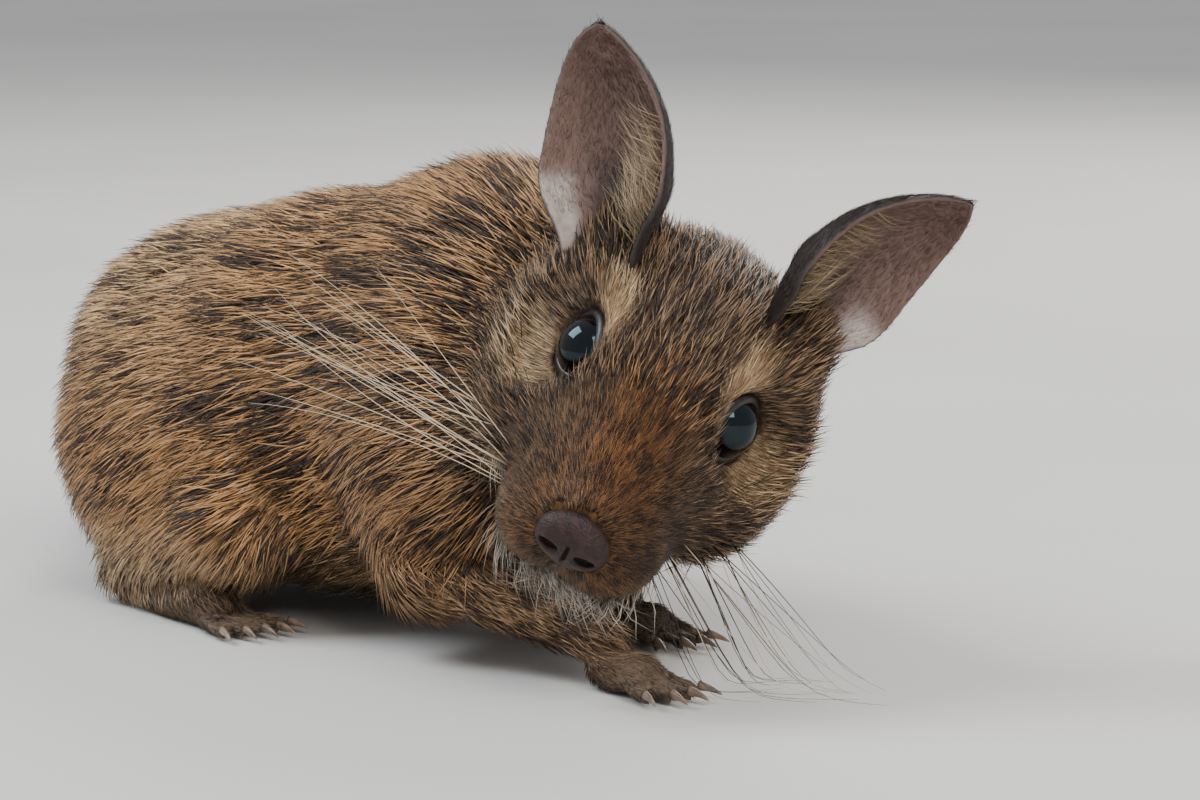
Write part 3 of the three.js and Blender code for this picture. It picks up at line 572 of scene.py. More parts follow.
def tuft_mesh(roots, normals, lies, lengths, widths, lifts, bends, colours, is_long):
    """Points, faces, colours and unwrap places of tufts; colours holds root, middle and tip."""
    count = len(roots)
    widths, bends = np.broadcast_to(widths, count), np.broadcast_to(bends, count)
    sideways = unit(np.cross(normals, lies))
    first = unit(lies * np.cos(lifts)[:, None] + normals * np.sin(lifts)[:, None])
    last = unit(lies + normals * (np.sin(lifts) * (1 - bends))[:, None])
    middle = roots + first * (lengths * 0.5)[:, None]
    tip = middle + last * (lengths * 0.5)[:, None]
    middle[:, 2] = np.maximum(middle[:, 2], MIDDLE_FLOOR)
    tip[:, 2] = np.maximum(tip[:, 2], TIP_FLOOR)
    rings = []
    for centre, run, size in ((roots, first, ROOT_SIZE), (middle, unit(first + last), MIDDLE_SIZE)):
        up = np.cross(run, sideways)
        for across, high in TRIANGLE:
            offset = sideways * across + up * high * FLATNESS
            rings.append(centre + offset * (widths * size)[:, None])
    spots = rings + [tip] if is_long else rings[:3] + [tip]
    points = np.stack(spots, axis=1)
    points[:, :, 2] = np.maximum(points[:, :, 2], ROOT_FLOOR)
    per = points.shape[1]
    faces = (LONG_FACES if is_long else SHORT_FACES)[None] + (np.arange(count) * per)[:, None, None]
    tones = np.stack([colours[0]] * 3 + ([colours[1]] * 3 if is_long else []) + [colours[2]], axis=1)
    places = unwrap(roots)[:, None, :] + (LONG_PATCH if is_long else SHORT_PATCH)[None] * PATCH
    return points.reshape(-1, 3), faces.reshape(-1, 3), tones.reshape(-1, 3), places.reshape(-1, 2)


LONG_TUFTS, SHORT_TUFTS, QUICK_SHARE = 88000, 105000, 0.35
LONG_FROM, SHORT_BELOW, SPARSE_BELOW, LEAST_ROOT_HEIGHT = 2.6, 3.4, 6, 0.9
GRAIN_CELLS = 24
GRAINS = random.random((GRAIN_CELLS,) * 3)


def grain(p, sizes):
    """Smooth random values from 0 to 1 that change over the given lengths in millimetres."""
    q = p / np.asarray(sizes, float) + 500
    low = np.floor(q).astype(int)
    t = q - low
    t = t * t * (3 - 2 * t)
    total = np.zeros(len(p))
    for corner in np.ndindex(2, 2, 2):
        share = np.prod(np.where(corner, t, 1 - t), axis=1)
        total += share * GRAINS[tuple(((low + corner) % GRAIN_CELLS).T)]
    return total


def agouti(light, dark, banded):
    """Root, middle and tip colours: some hairs are banded light, the others stay dark."""
    count = len(light)
    shade = random.uniform(0.72, 1.22, (count, 1))
    band = (random.random(count) < banded)[:, None]
    root = dark * 0.75
    middle = np.where(band, light * 0.85 + dark * 0.15, dark)
    tip = np.where(band, light, dark * 0.8) * shade
    return root, middle * shade, tip


def add_coat(name, batches, material):
    """Joins tufts into pieces that each stay under the limit of triangles."""
    made = 0
    for points, faces, tones, places in batches:
        shape = LONG_FACES if len(faces) > len(points) else SHORT_FACES
        per_tuft, corners = len(shape), shape.max() + 1
        count, step = len(faces) // per_tuft, PIECE_TRIANGLES // per_tuft
        for start in range(0, count, step):
            end = min(start + step, count)
            cut = slice(start * corners, end * corners)
            part = faces[start * per_tuft:end * per_tuft] - start * corners
            made += 1
            piece = mesh_object(f"{name}_{made}", points[cut], part, material, tones[cut], places[cut])


def scatter(vertices, normals, faces, weight, count):
    """Random roots on the skin, in proportion to each face's area and weight, with their normals."""
    a, b, c, d = (vertices[faces[:, n]] for n in range(4))
    area = np.linalg.norm(np.cross(c - a, d - b), axis=1) / 2
    share = area * weight
    chosen = np.searchsorted(np.cumsum(share) / share.sum(), random.random(count))
    chosen = np.minimum(chosen, len(faces) - 1)
    u, v = random.random((2, count, 1))

    def at(values):
        a, b, c, d = (values[faces[chosen, n]] for n in range(4))
        return mix(mix(a, b, u), mix(d, c, u), v)

    return at(vertices), unit(at(normals))


def body_coat(vertices, normals, faces, material):
    """Long tufts over the body and short ones where the coat is short, then chin and guard hairs."""
    centres = vertices[faces].mean(axis=1)
    weights = part_weights(part_fields(centres))
    q = to_head(centres)
    length = hair_length(centres, weights)
    clear = (hair_share(q) > 0.5) & (centres[:, 2] > LEAST_ROOT_HEIGHT)
    low_down, is_face = centres[:, 2] < SPARSE_BELOW, weights["head"] > 0.5
    long = (clear & (length >= LONG_FROM)) * np.where(low_down, 0.5, 1.0)
    short = (clear & (length < SHORT_BELOW)) * np.where(is_face, 1.25 + 2.2 * muzzle_share(q), 1.0)
    quick = 1
    batches = []
    for density, count, is_long in ((long, LONG_TUFTS, True), (short, SHORT_TUFTS, False)):
        roots, up = scatter(vertices, normals, faces, density, int(count * quick))
        batches.append(grow(roots, up, is_long))
    batches.append(beard(vertices, normals))
    batches.append(guard_hairs(vertices, normals))
    add_coat("coat", batches, material)


def beard(vertices, normals, count=420):
    """Long whitish hairs that hang from the lips and the chin."""
    q = to_head(vertices)
    under = (q[:, 2] < -14.5) & (q[:, 0] > 6) & (normals[:, 2] < 0.2) & (head_field(vertices) < 0.6)
    chosen = random.choice(np.flatnonzero(under), count)
    roots, up = vertices[chosen], normals[chosen]
    hang = np.array([0, 0, -1.0]) + 0.35 * HEAD_AXES[0] + random.normal(0, 0.22, (count, 3))
    lie = laid(hang, up)
    tone = srgb(206, 196, 184) * random.uniform(0.35, 1.05, (count, 1))
    lengths = np.minimum(random.uniform(3.5, 8.5, count), (roots[:, 2] - 1) * 0.9)
    lifts = np.radians(random.uniform(15, 60, count))
    return tuft_mesh(roots, up, lie, lengths, 0.17, lifts, 0.3, (tone * 0.6, tone, tone), True)


def guard_hairs(vertices, normals, count=1500):
    """Thin dark hairs that stand out beyond the rest of the coat on the crown, cheeks and back."""
    q = to_head(vertices)
    on_head = (head_field(vertices) < 1) & (q[:, 0] < 8) & (eye_distance(q) > 7)
    on_back = (vertices[:, 2] > 24) & (vertices[:, 0] > -62) & (vertices[:, 0] < 50)
    chosen = random.choice(np.flatnonzero(on_head | on_back), count)
    roots, up = vertices[chosen], normals[chosen]
    weights = part_weights(part_fields(roots))
    lie = laid(hair_lie(roots, weights) + random.normal(0, 0.12, (count, 3)), up)
    lengths = hair_length(roots, weights) * random.uniform(1.0, 1.35, count)
    lifts = np.radians(random.uniform(8, 18, count) + 12 * weights["head"])
    tone = srgb(40, 30, 26) * random.uniform(0.5, 1.6, (count, 1))
    return tuft_mesh(roots, up, lie, lengths, 0.16, lifts, 0.5, (tone,) * 3, True)


def nose_edge(q):
    """Negative under the nose pad, positive beside it."""
    return ellipsoid(q, np.add(NOSE[0], (0, 0, 0.3)), np.add(NOSE[1], (0.4, 0.5, 0.9)))


def from_eye_ball(q):
    """Millimetres from the middle of the nearer eye's ball."""
    return np.linalg.norm(folded(q) - EYE_CENTRE, axis=1)


def hair_share(q):
    """0 over the eyes and the nose pad, where no hair grows, and 1 elsewhere."""
    return smooth(5.0, 5.5, from_eye_ball(q)) * smooth(-0.3, 0.1, nose_edge(q))


LIE_SPREAD, ROOT_DEPTH = 0.16, 0.12
# Degrees that hairs stand off the skin, and how many more on the face, muzzle and brush
LIFT, FACE_LIFT, MUZZLE_LIFT, BRUSH_LIFT = 13, 4, 8, 16


def grow(roots, up, is_long):
    """Tufts at the roots, each with its place's length, width, lie and colours."""
    weights = part_weights(part_fields(roots))
    face = weights["head"]
    count = len(roots)
    q = to_head(roots)
    lie = hair_lie(roots, weights)
    mirrored = np.where(q[:, 1:2] < 0, (1, -1, 1), (1, 1, 1))
    aside = unit((folded(q) - EYE_CENTRE) * mirrored) @ HEAD_AXES
    lie = lie + aside * (2.2 * face * smooth(10, 5, eye_distance(q)))[:, None]
    lie = laid(lie + unit(np.cross(up, lie)) * random.normal(0, LIE_SPREAD, (count, 1)), up)
    lengths = hair_length(roots, weights) * random.uniform(0.7, 1.18, count)
    widths = coat_measure(weights, WIDTH) * random.uniform(0.7, 1.25, count)
    widths *= 1 - 0.35 * face * muzzle_share(q)
    brush, _ = tail_place(roots)
    lifts = LIFT + face * (FACE_LIFT + MUZZLE_LIFT * muzzle_share(q))
    lifts += BRUSH_LIFT * weights["tail"] * smooth(0.6, 0.8, brush)
    lifts = np.radians(lifts) * random.uniform(0.5, 1.6, count)
    light, dark = markings_and_painted_light(roots, weights)
    streaks = 1.2 * (grain(roots, (12, 1.6, 1.6)) - 0.5) * (1 - face)
    streaks += 0.75 * (grain(q, (3.5, 0.6, 1.3)) - 0.5) * face
    banded = 0.5 + streaks + 0.1 * (1 - face)
    colours = agouti(light, dark, banded)
    sunk = roots - up * ROOT_DEPTH
    return tuft_mesh(sunk, up, lie, lengths, widths, lifts, 0.5, colours, is_long)


# Ears: a cupped sheet, open to the front and outwards

def ear_half_width(rise):
    full = EAR_HALF_WIDTH * (1 - np.clip(rise, 0, 1) ** 2.1) ** 0.68
    return np.maximum(full * (0.6 + 0.4 * smooth(-0.3, 0.15, rise)), 0.5)


def ear_sheet(side):
    """Places of the ear's middle surface in the body's frame, as rows from root to tip."""
    base, tip, opening = (np.asarray(part, float) for part in EARS[side])
    up = unit(tip - base)
    length = np.linalg.norm(tip - base)
    opening = unit(opening - up * (opening @ up))
    forward = np.cross(opening, up)
    forward *= -1 if forward[1] > 0 else 1
    turn = math.radians(EAR_TURN)
    across = forward * math.cos(turn) - opening * math.sin(turn)
    facing = opening * math.cos(turn) + forward * math.sin(turn)
    grid = []
    for height in np.linspace(EAR_ROOT, 1, EAR_ROWS):
        rise = max(height, 0)
        half_arc = math.radians(EAR_ROOT_ARC - (EAR_ROOT_ARC - EAR_TIP_ARC) * rise)
        low = math.sin(turn - half_arc)
        high = 1 if half_arc + turn > math.pi / 2 else math.sin(turn + half_arc)
        radius = 2 * float(ear_half_width(height)) / (high - low)
        middle = base + up * height * length + facing * EAR_SHIFT * radius
        middle = middle - across * (high + low) / 2 * radius
        middle = middle - opening * EAR_BOW * math.sin(math.pi * min(rise, 1))
        angles = np.linspace(-half_arc, half_arc, EAR_COLUMNS)
        ring = np.outer(-np.cos(angles), opening) + np.outer(np.sin(angles), forward)
        grid.append(middle + radius * ring)
    return from_head(mirror(np.array(grid), side))


def grid_faces(rows, columns, start=0):
    i, j = np.indices((rows - 1, columns - 1)).reshape(2, -1)
    a = i * columns + j + start
    return np.stack([a, a + 1, a + columns + 1, a + columns], axis=1)


def ear_parts(side):
    """The ear's closed shell, and for its inner and outer side the grid and the way it faces."""
    rows, columns = EAR_ROWS, EAR_COLUMNS
    grid = ear_sheet(side)
    normals = unit(np.cross(np.gradient(grid, axis=0), np.gradient(grid, axis=1)))
    opening = from_head(mirror(EARS[side][2], side)) - HEAD_AT
    inward = 1 if np.sum(normals * opening) > 0 else -1
    normals = normals * inward
    thin = EAR_THICKNESS * (1 - EAR_THINNING * np.linspace(0, 1, rows))[:, None, None] / 2
    inner, outer = grid + normals * thin, grid - normals * thin
    points = np.concatenate([inner.reshape(-1, 3), outer.reshape(-1, 3)])
    back = rows * columns
    faces = [grid_faces(rows, columns), grid_faces(rows, columns, back)[:, ::-1]]
    place = np.arange(back).reshape(rows, columns)
    rim = np.concatenate([place[0, :-1], place[:-1, -1], place[-1, :0:-1], place[:0:-1, 0]])
    following = np.roll(rim, -1)
    faces.append(np.stack([rim, rim + back, following + back, following], axis=1))
    faces = np.concatenate(faces)
    if inward < 0:
        faces = faces[:, ::-1]
    return points, faces, inner, outer, normals


def ear_tones():
    """Brown inside, with painted shade darkening the hollow, whitish at the notch of the outer edge,
    near-black behind.
    """
    rise = np.linspace(EAR_ROOT, 1, EAR_ROWS)[:, None]
    across = np.linspace(0, 1, EAR_COLUMNS)[None, :]
    inner = np.tile(EAR_INSIDE, (EAR_ROWS, EAR_COLUMNS, 1))
    # Painted shade: the hollow near the ear's root is darkened where shade falls into it
    hollow_shade = (smooth(0.3, 0.02, rise) * smooth(0.18, 0.4, across))[..., None]
    inner = mix(inner, EAR_HOLLOW_SHADE, hollow_shade)
    pale = (smooth(0.14, 0.04, rise) * smooth(0.22, 0.1, across))[..., None]
    inner = mix(inner, EAR_NOTCH, pale)
    return inner, np.tile(EAR_BACK, (EAR_ROWS, EAR_COLUMNS, 1))


def add_ear(name, side, skin_material, coat_material):
    points, faces, inner, outer, normals = ear_parts(side)
    inner_tone, outer_tone = ear_tones()
    tones = np.concatenate([inner_tone.reshape(-1, 3), outer_tone.reshape(-1, 3)])
    shell = mesh_object(name, points, faces, skin_material, tones)
    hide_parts(name)
    inside = ear_fuzz(inner, normals, inner_tone, count=5200, length=1.5, lift=20)
    outside = ear_fuzz(outer, -normals, outer_tone, count=6500, length=1.9, lift=12)
    add_coat(f"{name}_coat", [inside, outside, ear_fringe(inner, normals)], coat_material)


def ear_fuzz(grid, normals, tones, count, length, lift):
    """Fine short hairs over one side of the ear, pointing to its tip."""
    rows, columns = grid.shape[:2]
    rise = np.linspace(EAR_ROOT, 1, rows)
    chance = ear_half_width(rise) * (rise > -0.12) * (rise < 0.97) + 1e-6
    i = random.choice(rows - 1, count, p=chance[:-1] / chance[:-1].sum())
    j = random.integers(0, columns - 1, count)
    s, t = random.random((2, count, 1))

    def at(values):
        low, high = (mix(values[row, j], values[row, j + 1], t) for row in (i, i + 1))
        return mix(low, high, s)

    roots, up = at(grid), unit(at(normals))
    lie = unit(np.gradient(grid, axis=0))[i, j] + random.normal(0, 0.18, (count, 3))
    lie = laid(lie, up)
    tone = at(tones) * random.uniform(0.75, 1.5, (count, 1))
    lengths = length * random.uniform(0.6, 1.2, count)
    lifts = np.radians(lift) * random.uniform(0.5, 1.5, count)
    colours = (tone * 0.9, tone, tone * 1.15)
    return tuft_mesh(roots - up * 0.1, up, lie, lengths, 0.12, lifts, 0.4, colours, False)


def ear_fringe(inner, normals):
    """Long pale hairs that fan from the front edge's root across the opening."""
    rows, columns = inner.shape[:2]
    count = 420
    i = (rows * random.beta(1.2, 2.4, count) * 0.6 + rows * 0.12).astype(int)
    front = columns - 1 - (random.beta(1, 3, count) * 12).astype(int)
    roots = inner[i, front]
    up = normals[i, front]
    rise = unit(np.gradient(inner, axis=0))[i, front]
    across = unit(inner[i, columns // 3] - roots)
    lie = rise * random.uniform(0.2, 1.2, (count, 1)) + across * random.uniform(0.1, 1.3, (count, 1))
    tone = srgb(186, 162, 130) * random.uniform(0.3, 1.1, (count, 1))
    lengths = random.uniform(4, 11, count)
    lifts = np.radians(random.uniform(12, 65, count))
    return tuft_mesh(roots, up, unit(lie), lengths, 0.11, lifts, 0.6, (tone * 0.8, tone, tone), True)


# Eyes, lids, nose, whiskers and claws

def ring_surface(rings):
    """Places and faces of an open tube given as rings of places."""
    count, sides = rings.shape[:2]
    i, j = np.indices((count - 1, sides)).reshape(2, -1)
    near, following = i * sides, (j + 1) % sides
    far = near + sides
    return rings.reshape(-1, 3), np.stack([near + j, near + following, far + following, far + j], axis=1)


EYE_RINGS, EYE_SIDES = 40, 64
EYE_SHARE, CORNEA_RISE, CORNEA_REACH = 0.985, 0.035, 0.7


def add_eye(name, side, material):
    """A round cornea over a dark ball, centred where the frame's eye is."""
    pole = np.linspace(0.0001, math.pi - 0.0001, EYE_RINGS)
    turn = np.linspace(0, 2 * math.pi, EYE_SIDES, endpoint=False)
    look = unit(mirror(EYE_LOOK, side))
    sideways = unit(np.cross(look, (0, 0, 1)))
    up = np.cross(sideways, look)
    bulge = 1 + CORNEA_RISE * np.exp(-(pole / CORNEA_REACH) ** 2)
    ring = np.cos(turn)[None, :, None] * sideways + np.sin(turn)[None, :, None] * up
    pole, radius = pole[:, None, None], (EYE_RADIUS * EYE_SHARE * bulge)[:, None, None]
    places = (np.cos(pole) * look + np.sin(pole) * ring) * radius
    points, faces = ring_surface(from_head(mirror(EYE_CENTRE, side) + places))
    eye = mesh_object(name, points, faces, material)
    close_ends(eye)
    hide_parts(name)


def close_ends(piece):
    """Fills a tube's two open ends and turns every face outwards."""
    shape = bmesh.new()
    shape.from_mesh(piece.data)
    open_edges = [edge for edge in shape.edges if edge.is_boundary]
    bmesh.ops.holes_fill(shape, edges=open_edges, sides=0)
    bmesh.ops.recalc_face_normals(shape, faces=shape.faces)
    for face in shape.faces:
        face.smooth = True
    shape.to_mesh(piece.data)
    shape.free()


LID_PROFILE = ((60, 4.35), (61, 4.75), (65, 5.12), (70, 5.28), (76, 5.2), (84, 4.9), (94, 4.2))


def add_lids(name, side, material):
    """The dark bare rim round the eye, drawn to a corner at the front and back."""
    turn = np.linspace(0, 2 * math.pi, 72, endpoint=False)
    look = unit(mirror(EYE_LOOK, side))
    front = np.array([1, 0, -0.15])
    front = unit(front - look * (look @ front))
    up = unit(np.cross(front, look)) * (1 if np.cross(front, look)[2] > 0 else -1)
    corner = 7 * np.exp(-(np.minimum(turn, 2 * math.pi - turn) / 0.42) ** 2)
    corner += 3 * np.exp(-((turn - math.pi) / 0.4) ** 2)
    flat = -5 * np.sin(turn) ** 2
    ring = np.cos(turn)[:, None] * front + np.sin(turn)[:, None] * up
    rows = []
    for angle, radius in LID_PROFILE:
        theta = np.radians(angle + corner + flat)[:, None]
        rows.append((np.cos(theta) * look + np.sin(theta) * ring) * radius)
    rings = from_head(mirror(EYE_CENTRE, side) + np.array(rows))
    points, faces = ring_surface(rings)
    first = np.arange(len(turn))
    following, last = np.roll(first, -1), first + len(points) - len(turn)
    back = np.stack([last, np.roll(last, -1), following, first], axis=1)
    faces = np.concatenate([faces, back])
    lids = mesh_object(name, points, faces, material)
    close_ends(lids)


def nose_surface(p):
    """The nose pad with its wings, two nostrils and a cleft between them."""
    q = to_head(p)
    m = folded(q)
    centre, radii = np.array(NOSE[0]), np.array(NOSE[1])
    pad = ellipsoid(q, centre + (0, 0, 0.3), radii + (0.2, 0.2, 0.7))
    pad = blend(pad, ellipsoid(m, centre + (0.4, 2.3, 0.4), (2.0, 2.4, 2.7)), 0.8)
    nostril = ellipsoid(m, centre + (2.1, 2.5, -0.5), (1.8, 1.35, 0.75))
    pad = -blend(-pad, nostril, 0.5)
    cleft = ellipsoid(q, centre + (2.8, 0, -1.8), (1.5, 0.3, 3.2))
    return -blend(-pad, cleft, 0.35)


def add_nose(material):
    centre = from_head(NOSE[0])
    points, faces = field_surface(nose_surface, centre - NOSE_REACH, centre + NOSE_REACH, NOSE_GRID)
    nose = mesh_object("nose_pad", points, faces, material)
    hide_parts("nose")


def hair_tube(points, radii):
    """A tapering three-sided hair along a line of places."""
    runs = unit(np.gradient(points, axis=0))
    sideways = unit(np.cross(runs, (0.2, 0.3, 1)))
    up = np.cross(runs, sideways)
    across, high = TRIANGLE[:, 0][None, :, None], TRIANGLE[:, 1][None, :, None]
    corners = across * sideways[:, None] + high * up[:, None]
    rings = points[:, None] + corners * radii[:, None, None]
    return ring_surface(rings)


WHISKER_SEARCH, WHISKER_ROOT = 30, -0.6


def skin_place(inside, towards):
    """Where a line from inside the head comes near its surface, just under the coat's tips."""
    low, high = 0.0, WHISKER_SEARCH
    for _ in range(24):
        middle = (low + high) / 2
        outside = head_field((inside + towards * middle)[None])[0] > WHISKER_ROOT
        low, high = (low, middle) if outside else (middle, high)
    return inside + towards * low


WHISKER_LIMIT, WHISKER_POINTS, WHISKER_RADII = -46, 12, (0.085, 0.02)
WHISKER_LENGTH, WHISKER_RANK, WHISKER_SPREAD = 24, 4.2, 0.13
WHISKER_LIGHT, WHISKER_DARK = srgb(214, 196, 168), srgb(36, 28, 25)
LIGHT_WHISKERS = {RIGHT: 0.85, LEFT: 0.3}
PAD_HEIGHT, ABOVE_FLOOR = -12, 2
# The ways a side's whiskers start and end, and how far a place up the pad tips them up
SWEEPS = {
    RIGHT: (((0.25, -1, 0.42), 0.06), ((-0.75, -1, -0.35), 0.09)),
    LEFT: (((0.5, 1, -0.3), 0.07), ((0.3, 1.1, -0.42), 0.13)),
}
# Each whisker: its place along and up the pad, and a rank that lengthens it
WHISKERS = [
    (15, 3, 0), (12, 2, -1), (9, 1, -2), (16, 0, 2.2), (13, -0.5, 1.2), (10, -1, 0.2), (7, -1.5, -1),
    (17, -3, 3), (14, -3, 2), (11, -3, 1), (8, -3, 0), (16, -5.5, 3), (13, -5.5, 2), (10, -5.5, 1),
]


def whisker_line(side, n):
    """A whisker swept out from the pad, as places in the body's frame."""
    along, height, rank = WHISKERS[n]
    inside = from_head((along - 3, 3 * side, PAD_HEIGHT + height * 0.5))
    pad = (along, 12 * side, PAD_HEIGHT + height)
    core = (along, 3 * side, PAD_HEIGHT + height * 0.9)
    towards = from_head(pad) - from_head(core)
    root = skin_place(inside, unit(towards))
    length = WHISKER_LENGTH + WHISKER_RANK * rank + 8 * (1 - along / 17) + random.uniform(0, 9)
    sweep = [np.add(way, (0, 0, height * tip)) for way, tip in SWEEPS[side]]
    spread = random.normal(0, WHISKER_SPREAD, (2, 3))
    start, end = unit(sweep + spread) @ HEAD_AXES
    share = np.linspace(0, 1, WHISKER_POINTS)[:, None]
    steps = unit(mix(start, end, share)) * length / (WHISKER_POINTS - 1)
    way = np.vstack([np.zeros(3), np.cumsum(steps[:-1], axis=0)])
    way *= min(1, (root[1] - WHISKER_LIMIT) / max(-way[:, 1].min(), 0.1))
    line = root + way
    line[:, 2] = ABOVE_FLOOR * (1 + np.log1p(np.exp(line[:, 2] / ABOVE_FLOOR - 1)))
    return line


def add_whiskers(material):
    points, faces, tones = [], [], []
    placed = 0
    for side in (RIGHT, LEFT):
        for n in [*range(len(WHISKERS))] * 2:
            line = whisker_line(side, n)
            thick = np.linspace(*WHISKER_RADII, len(line)) * random.uniform(0.75, 1.15)
            ring, ring_faces = hair_tube(line, thick)
            tone = WHISKER_LIGHT if random.random() < LIGHT_WHISKERS[side] else WHISKER_DARK
            faces.append(ring_faces + placed)
            placed += len(ring)
            points.append(ring)
            tones.append(np.tile(tone, (len(ring), 1)))
    points, faces, tones = (np.concatenate(parts) for parts in (points, faces, tones))
    whiskers = mesh_object("whiskers", points, faces, material, tones)
    close_ends(whiskers)


CLAW_LENGTH, CLAW_DROP, CLAW_HEIGHT = 3.3, 0.75, 0.55
CLAW_RADIUS, CLAW_TIP_RADIUS, CLAW_NARROWING = 0.56, 0.1, 0.75
CLAW_RINGS, CLAW_SIDES = 9, 12


def add_claw(name, start, end, material):
    """A slim curved claw from the end of its toe."""
    along = unit((end - start) * (1, 1, 0))
    share = np.linspace(0, 1, CLAW_RINGS)
    line = end + np.array([0, 0, CLAW_HEIGHT]) + along * (share * CLAW_LENGTH)[:, None]
    line[:, 2] -= CLAW_DROP * share**2
    radii = CLAW_RADIUS * (1 - share) ** 0.7 + CLAW_TIP_RADIUS
    sides = np.linspace(0, 2 * math.pi, CLAW_SIDES, endpoint=False)
    sideways = np.cross((0, 0, 1), along)
    across, high = np.cos(sides)[:, None] * sideways, np.sin(sides)[:, None] * np.array([0, 0, 1.0])
    ring = across * CLAW_NARROWING + high
    points, faces = ring_surface(line[:, None] + ring[None] * radii[:, None, None])
    claw = mesh_object(f"{name}_horn", points, faces, material)
    close_ends(claw)
    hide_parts(name)


def add_claws(material):
    for label, side in (("right", RIGHT), ("left", LEFT)):
        for kind, toes in (("fore", fore_toes(side)), ("hind", hind_toes(side))):
            for n, (start, end) in enumerate(toes, 1):
                add_claw(f"claw_{kind}_{label}_{n}", start, end, material)


# Materials

def noise(nodes, links, scale, detail=3):
    """Noise laid on the object's own coordinates, in metres."""
    place = nodes.new("ShaderNodeTexCoord")
    texture = nodes.new("ShaderNodeTexNoise")
    texture.inputs["Scale"].default_value = scale
    texture.inputs["Detail"].default_value = detail
    links.new(place.outputs["Object"], texture.inputs["Vector"])
    return texture.outputs["Fac"]


def ramp(nodes, links, factor, low, high):
    shades = nodes.new("ShaderNodeValToRGB")
    for element, position, colour in zip(shades.color_ramp.elements, (0.3, 0.7), (low, high)):
        element.position = position
        element.color = (*colour, 1)
    links.new(factor, shades.inputs["Fac"])
    return shades.outputs["Color"]


def tinted(nodes, links, tint):
    """The piece's own colours times a tint."""
    own = nodes.new("ShaderNodeVertexColor")
    own.layer_name = "coat_colour"
    times = nodes.new("ShaderNodeMix")
    times.data_type = "RGBA"
    times.blend_type = "MULTIPLY"
    times.inputs["Factor"].default_value = 1
    links.new(own.outputs["Color"], times.inputs[6])
    links.new(tint, times.inputs[7])
    return times.outputs[2]


SPECULAR, GLOW, GLOW_REACH = "Specular IOR Level", "Subsurface Weight", "Subsurface Radius"
# For each material its roughness, the scale of its noise, the two colours that the noise mixes,
# or two tints of the piece's own colours, its bump's scale, detail, strength and distance,
# and its other settings
LOOKS = {
    "coat_hair": (0.5, 380, "tints", (0.8, 0.78, 0.76), (1.15, 1.15, 1.15), None, {SPECULAR: 0.38}),
    "coat_under": (
        0.85, 1400, "tints", (0.4, 0.38, 0.36), (0.9, 0.88, 0.86), (1800, 3, 0.6, 0.0003),
        {SPECULAR: 0.15},
    ),
    "ear_skin": (
        0.62, 700, "tints", (0.78, 0.74, 0.74), (1.12, 1.08, 1.08), (1500, 3, 0.35, 0.0002),
        {GLOW: 0.08, GLOW_REACH: (0.0012, 0.0005, 0.0003)},
    ),
    "nose_skin": (
        0.5, 900, "colours", srgb(32, 20, 19), srgb(54, 35, 32), (2600, 2, 0.7, 0.0003),
        {SPECULAR: 0.3},
    ),
    "eyelid": (0.38, 1500, "colours", srgb(14, 10, 9), srgb(34, 25, 22), (3000, 3, 0.3, 0.0001), {}),
    "eye": (
        0.05, 250, "colours", (0.002, 0.0014, 0.0013), (0.006, 0.0035, 0.003), None,
        {SPECULAR: 0.42, "Specular Tint": (0.55, 0.82, 1.0, 1)},
    ),
    "claw_horn": (0.3, 500, "colours", srgb(78, 62, 52), srgb(150, 130, 112), None, {}),
    "whisker": (0.35, 200, "tints", (0.85, 0.85, 0.85), (1.1, 1.1, 1.1), None, {}),
    "studio_floor": (0.75, 6, "colours", (0.60, 0.58, 0.55), (0.66, 0.64, 0.61), None, {}),
}


def new_material(name):
    roughness, scale, kind, low, high, bump, settings = LOOKS[name]
    made = bpy.data.materials.new(name)
    made.use_nodes = True
    nodes, links = made.node_tree.nodes, made.node_tree.links
    shader = next(node for node in nodes if node.type == "BSDF_PRINCIPLED")
    colour = ramp(nodes, links, noise(nodes, links, scale), low, high)
    if kind == "tints":
        colour = tinted(nodes, links, colour)
    links.new(colour, shader.inputs["Base Color"])
    for socket, value in {"Roughness": roughness, **settings}.items():
        shader.inputs[socket].default_value = value
    if bump:
        bump_scale, detail, strength, distance = bump
        node = nodes.new("ShaderNodeBump")
        node.inputs["Strength"].default_value = strength
        node.inputs["Distance"].default_value = distance
        links.new(noise(nodes, links, bump_scale, detail), node.inputs["Height"])
        links.new(node.outputs["Normal"], shader.inputs["Normal"])
    return made


# The whole animal

def add_skin(material):
    """One skin under the coat, from the nose's root to the end of the tail."""
    points, faces = field_surface(skin_field, GRID_LOW, GRID_HIGH, GRID)
    points[:, 2] = np.maximum(points[:, 2], 0)
    normals = slope(skin_field, points)
    light, dark = markings_and_painted_light(points, part_weights(part_fields(points)))
    tones = mix(light, dark, 0.62)
    q = to_head(points)
    bare_skin = np.maximum(smooth(6.4, 5.6, from_eye_ball(q)), smooth(0.6, -0.1, nose_edge(q)))[:, None]
    tones = mix(tones, srgb(30, 20, 17), bare_skin)
    skin = mesh_object("skin", points, faces, material, tones, unwrap(points))
    limbs = ("foreleg", "forepaw", "hind_leg", "hind_foot")
    sides = [f"{name}_{side}" for name in limbs for side in ("right", "left")]
    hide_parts("trunk", "neck", "head", "tail_base", "tail_middle", "tail_tuft", *sides)
    return points, normals, faces


def add_animal():
    hair, ear, eye, lid = (new_material(name) for name in ("coat_hair", "ear_skin", "eye", "eyelid"))
    points, normals, faces = add_skin(new_material("coat_under"))
    body_coat(points, normals, faces, hair)
    for label, side in (("right", RIGHT), ("left", LEFT)):
        add_ear(f"ear_{label}", side, ear, hair)
        add_eye(f"eye_{label}", side, eye)
        add_lids(f"lids_{label}", side, lid)
    add_nose(new_material("nose_skin"))
    add_whiskers(new_material("whisker"))
    add_claws(new_material("claw_horn"))


# Floor, light and camera

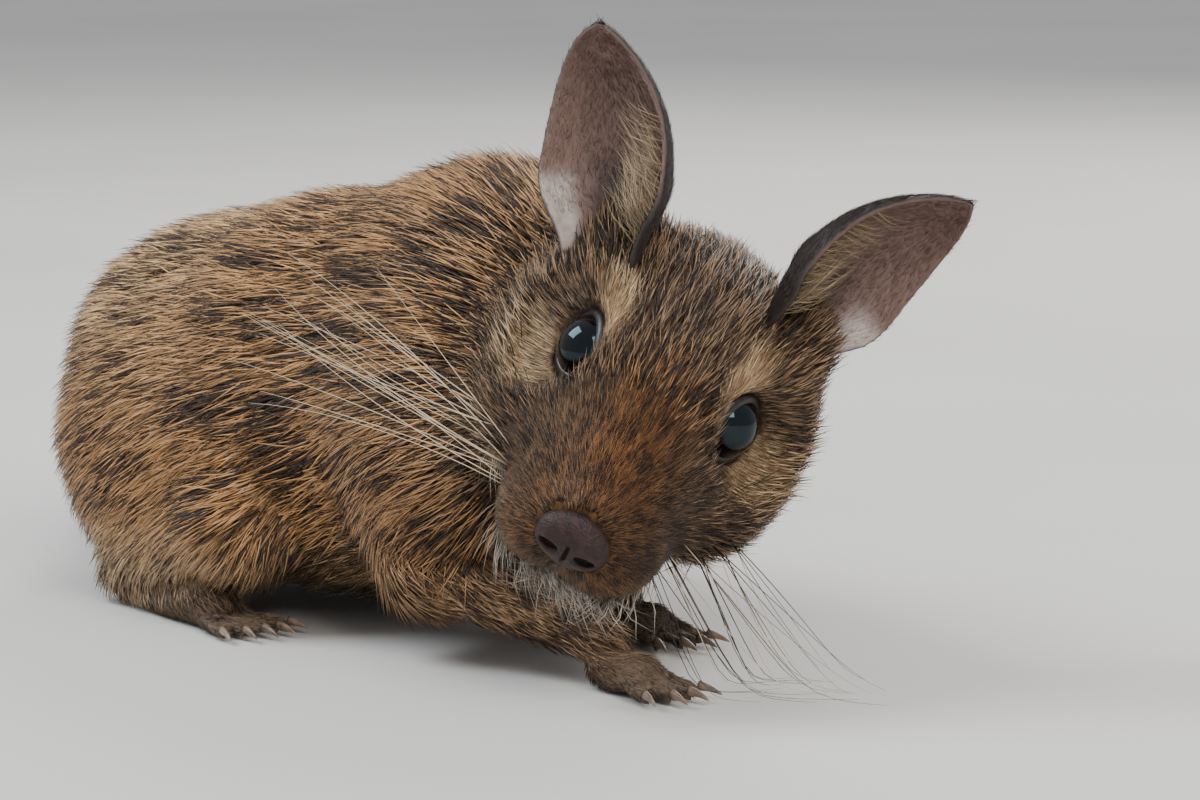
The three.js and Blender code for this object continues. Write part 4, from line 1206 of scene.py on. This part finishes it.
def panel(name, place, target, size, power, colour):
    light = bpy.data.lights.new(name, "AREA")
    light.shape = "RECTANGLE"
    light.size, light.size_y = size
    light.energy = power
    light.color = colour
    lamp = new_object(name, light)
    lamp.location = place
    lamp.rotation_euler = (Vector(target) - Vector(place)).to_track_quat("-Z", "Y").to_euler()


def add_floor():
    half = 1.6
    corners = [(-half, -half, 0), (half, -half, 0), (half, half, 0), (-half, half, 0)]
    mesh = bpy.data.meshes.new("studio_floor")
    mesh.from_pydata(corners, [], [(0, 1, 2, 3)])
    mesh.materials.append(new_material("studio_floor"))
    floor = new_object("studio_floor", mesh)


AZIMUTH, ELEVATION, DISTANCE = 50, 8, 550
LENS, SENSOR_WIDTH, CLIP_START = 132, 36, 0.01
# Pixels from the middle of the picture to the head, rightwards and up
HEAD_ASIDE, HEAD_ABOVE, PIXELS_PER_MM = 57.5, 13, 8


def add_camera():
    """The photo's framing, with the camera raised above the floor."""
    azimuth, elevation = math.radians(AZIMUTH), math.radians(ELEVATION)
    right = np.array([math.cos(azimuth), math.sin(azimuth), 0])
    level = math.cos(elevation)
    back = np.array([math.sin(azimuth) * level, -math.cos(azimuth) * level, math.sin(elevation)])
    up = np.cross(back, right)
    aim = HEAD_AT - right * (HEAD_ASIDE / PIXELS_PER_MM) - up * (HEAD_ABOVE / PIXELS_PER_MM)
    place = aim + back * DISTANCE + SHIFT
    camera_data = bpy.data.cameras.new("camera")
    camera_data.lens = LENS
    camera_data.sensor_width = SENSOR_WIDTH
    camera_data.clip_start = CLIP_START
    camera = new_object("camera", camera_data)
    axes = Matrix([right, up, back]).transposed()
    camera.matrix_world = Matrix.Translation(Vector(place * MM)) @ axes.to_4x4()
    bpy.context.scene.camera = camera


def add_studio():
    add_floor()
    target = (0.03, 0, 0.03)
    panel("window", (-0.35, -0.5, 0.75), target, (0.5, 0.5), 8.5, (0.86, 0.94, 1.0))
    panel("key", (0.75, -0.25, 0.6), target, (0.45, 0.45), 7, (1.0, 0.97, 0.93))
    panel("rim", (-0.3, 0.7, 0.55), target, (0.5, 0.4), 5, (1.0, 0.98, 0.95))
    world = bpy.data.worlds.new("studio")
    world.use_nodes = True
    sky = next(node for node in world.node_tree.nodes if node.type == "BACKGROUND")
    sky.inputs["Color"].default_value = (0.86, 0.88, 0.92, 1)
    sky.inputs["Strength"].default_value = 0.62
    bpy.context.scene.world = world


add_animal()
add_studio()
add_camera()
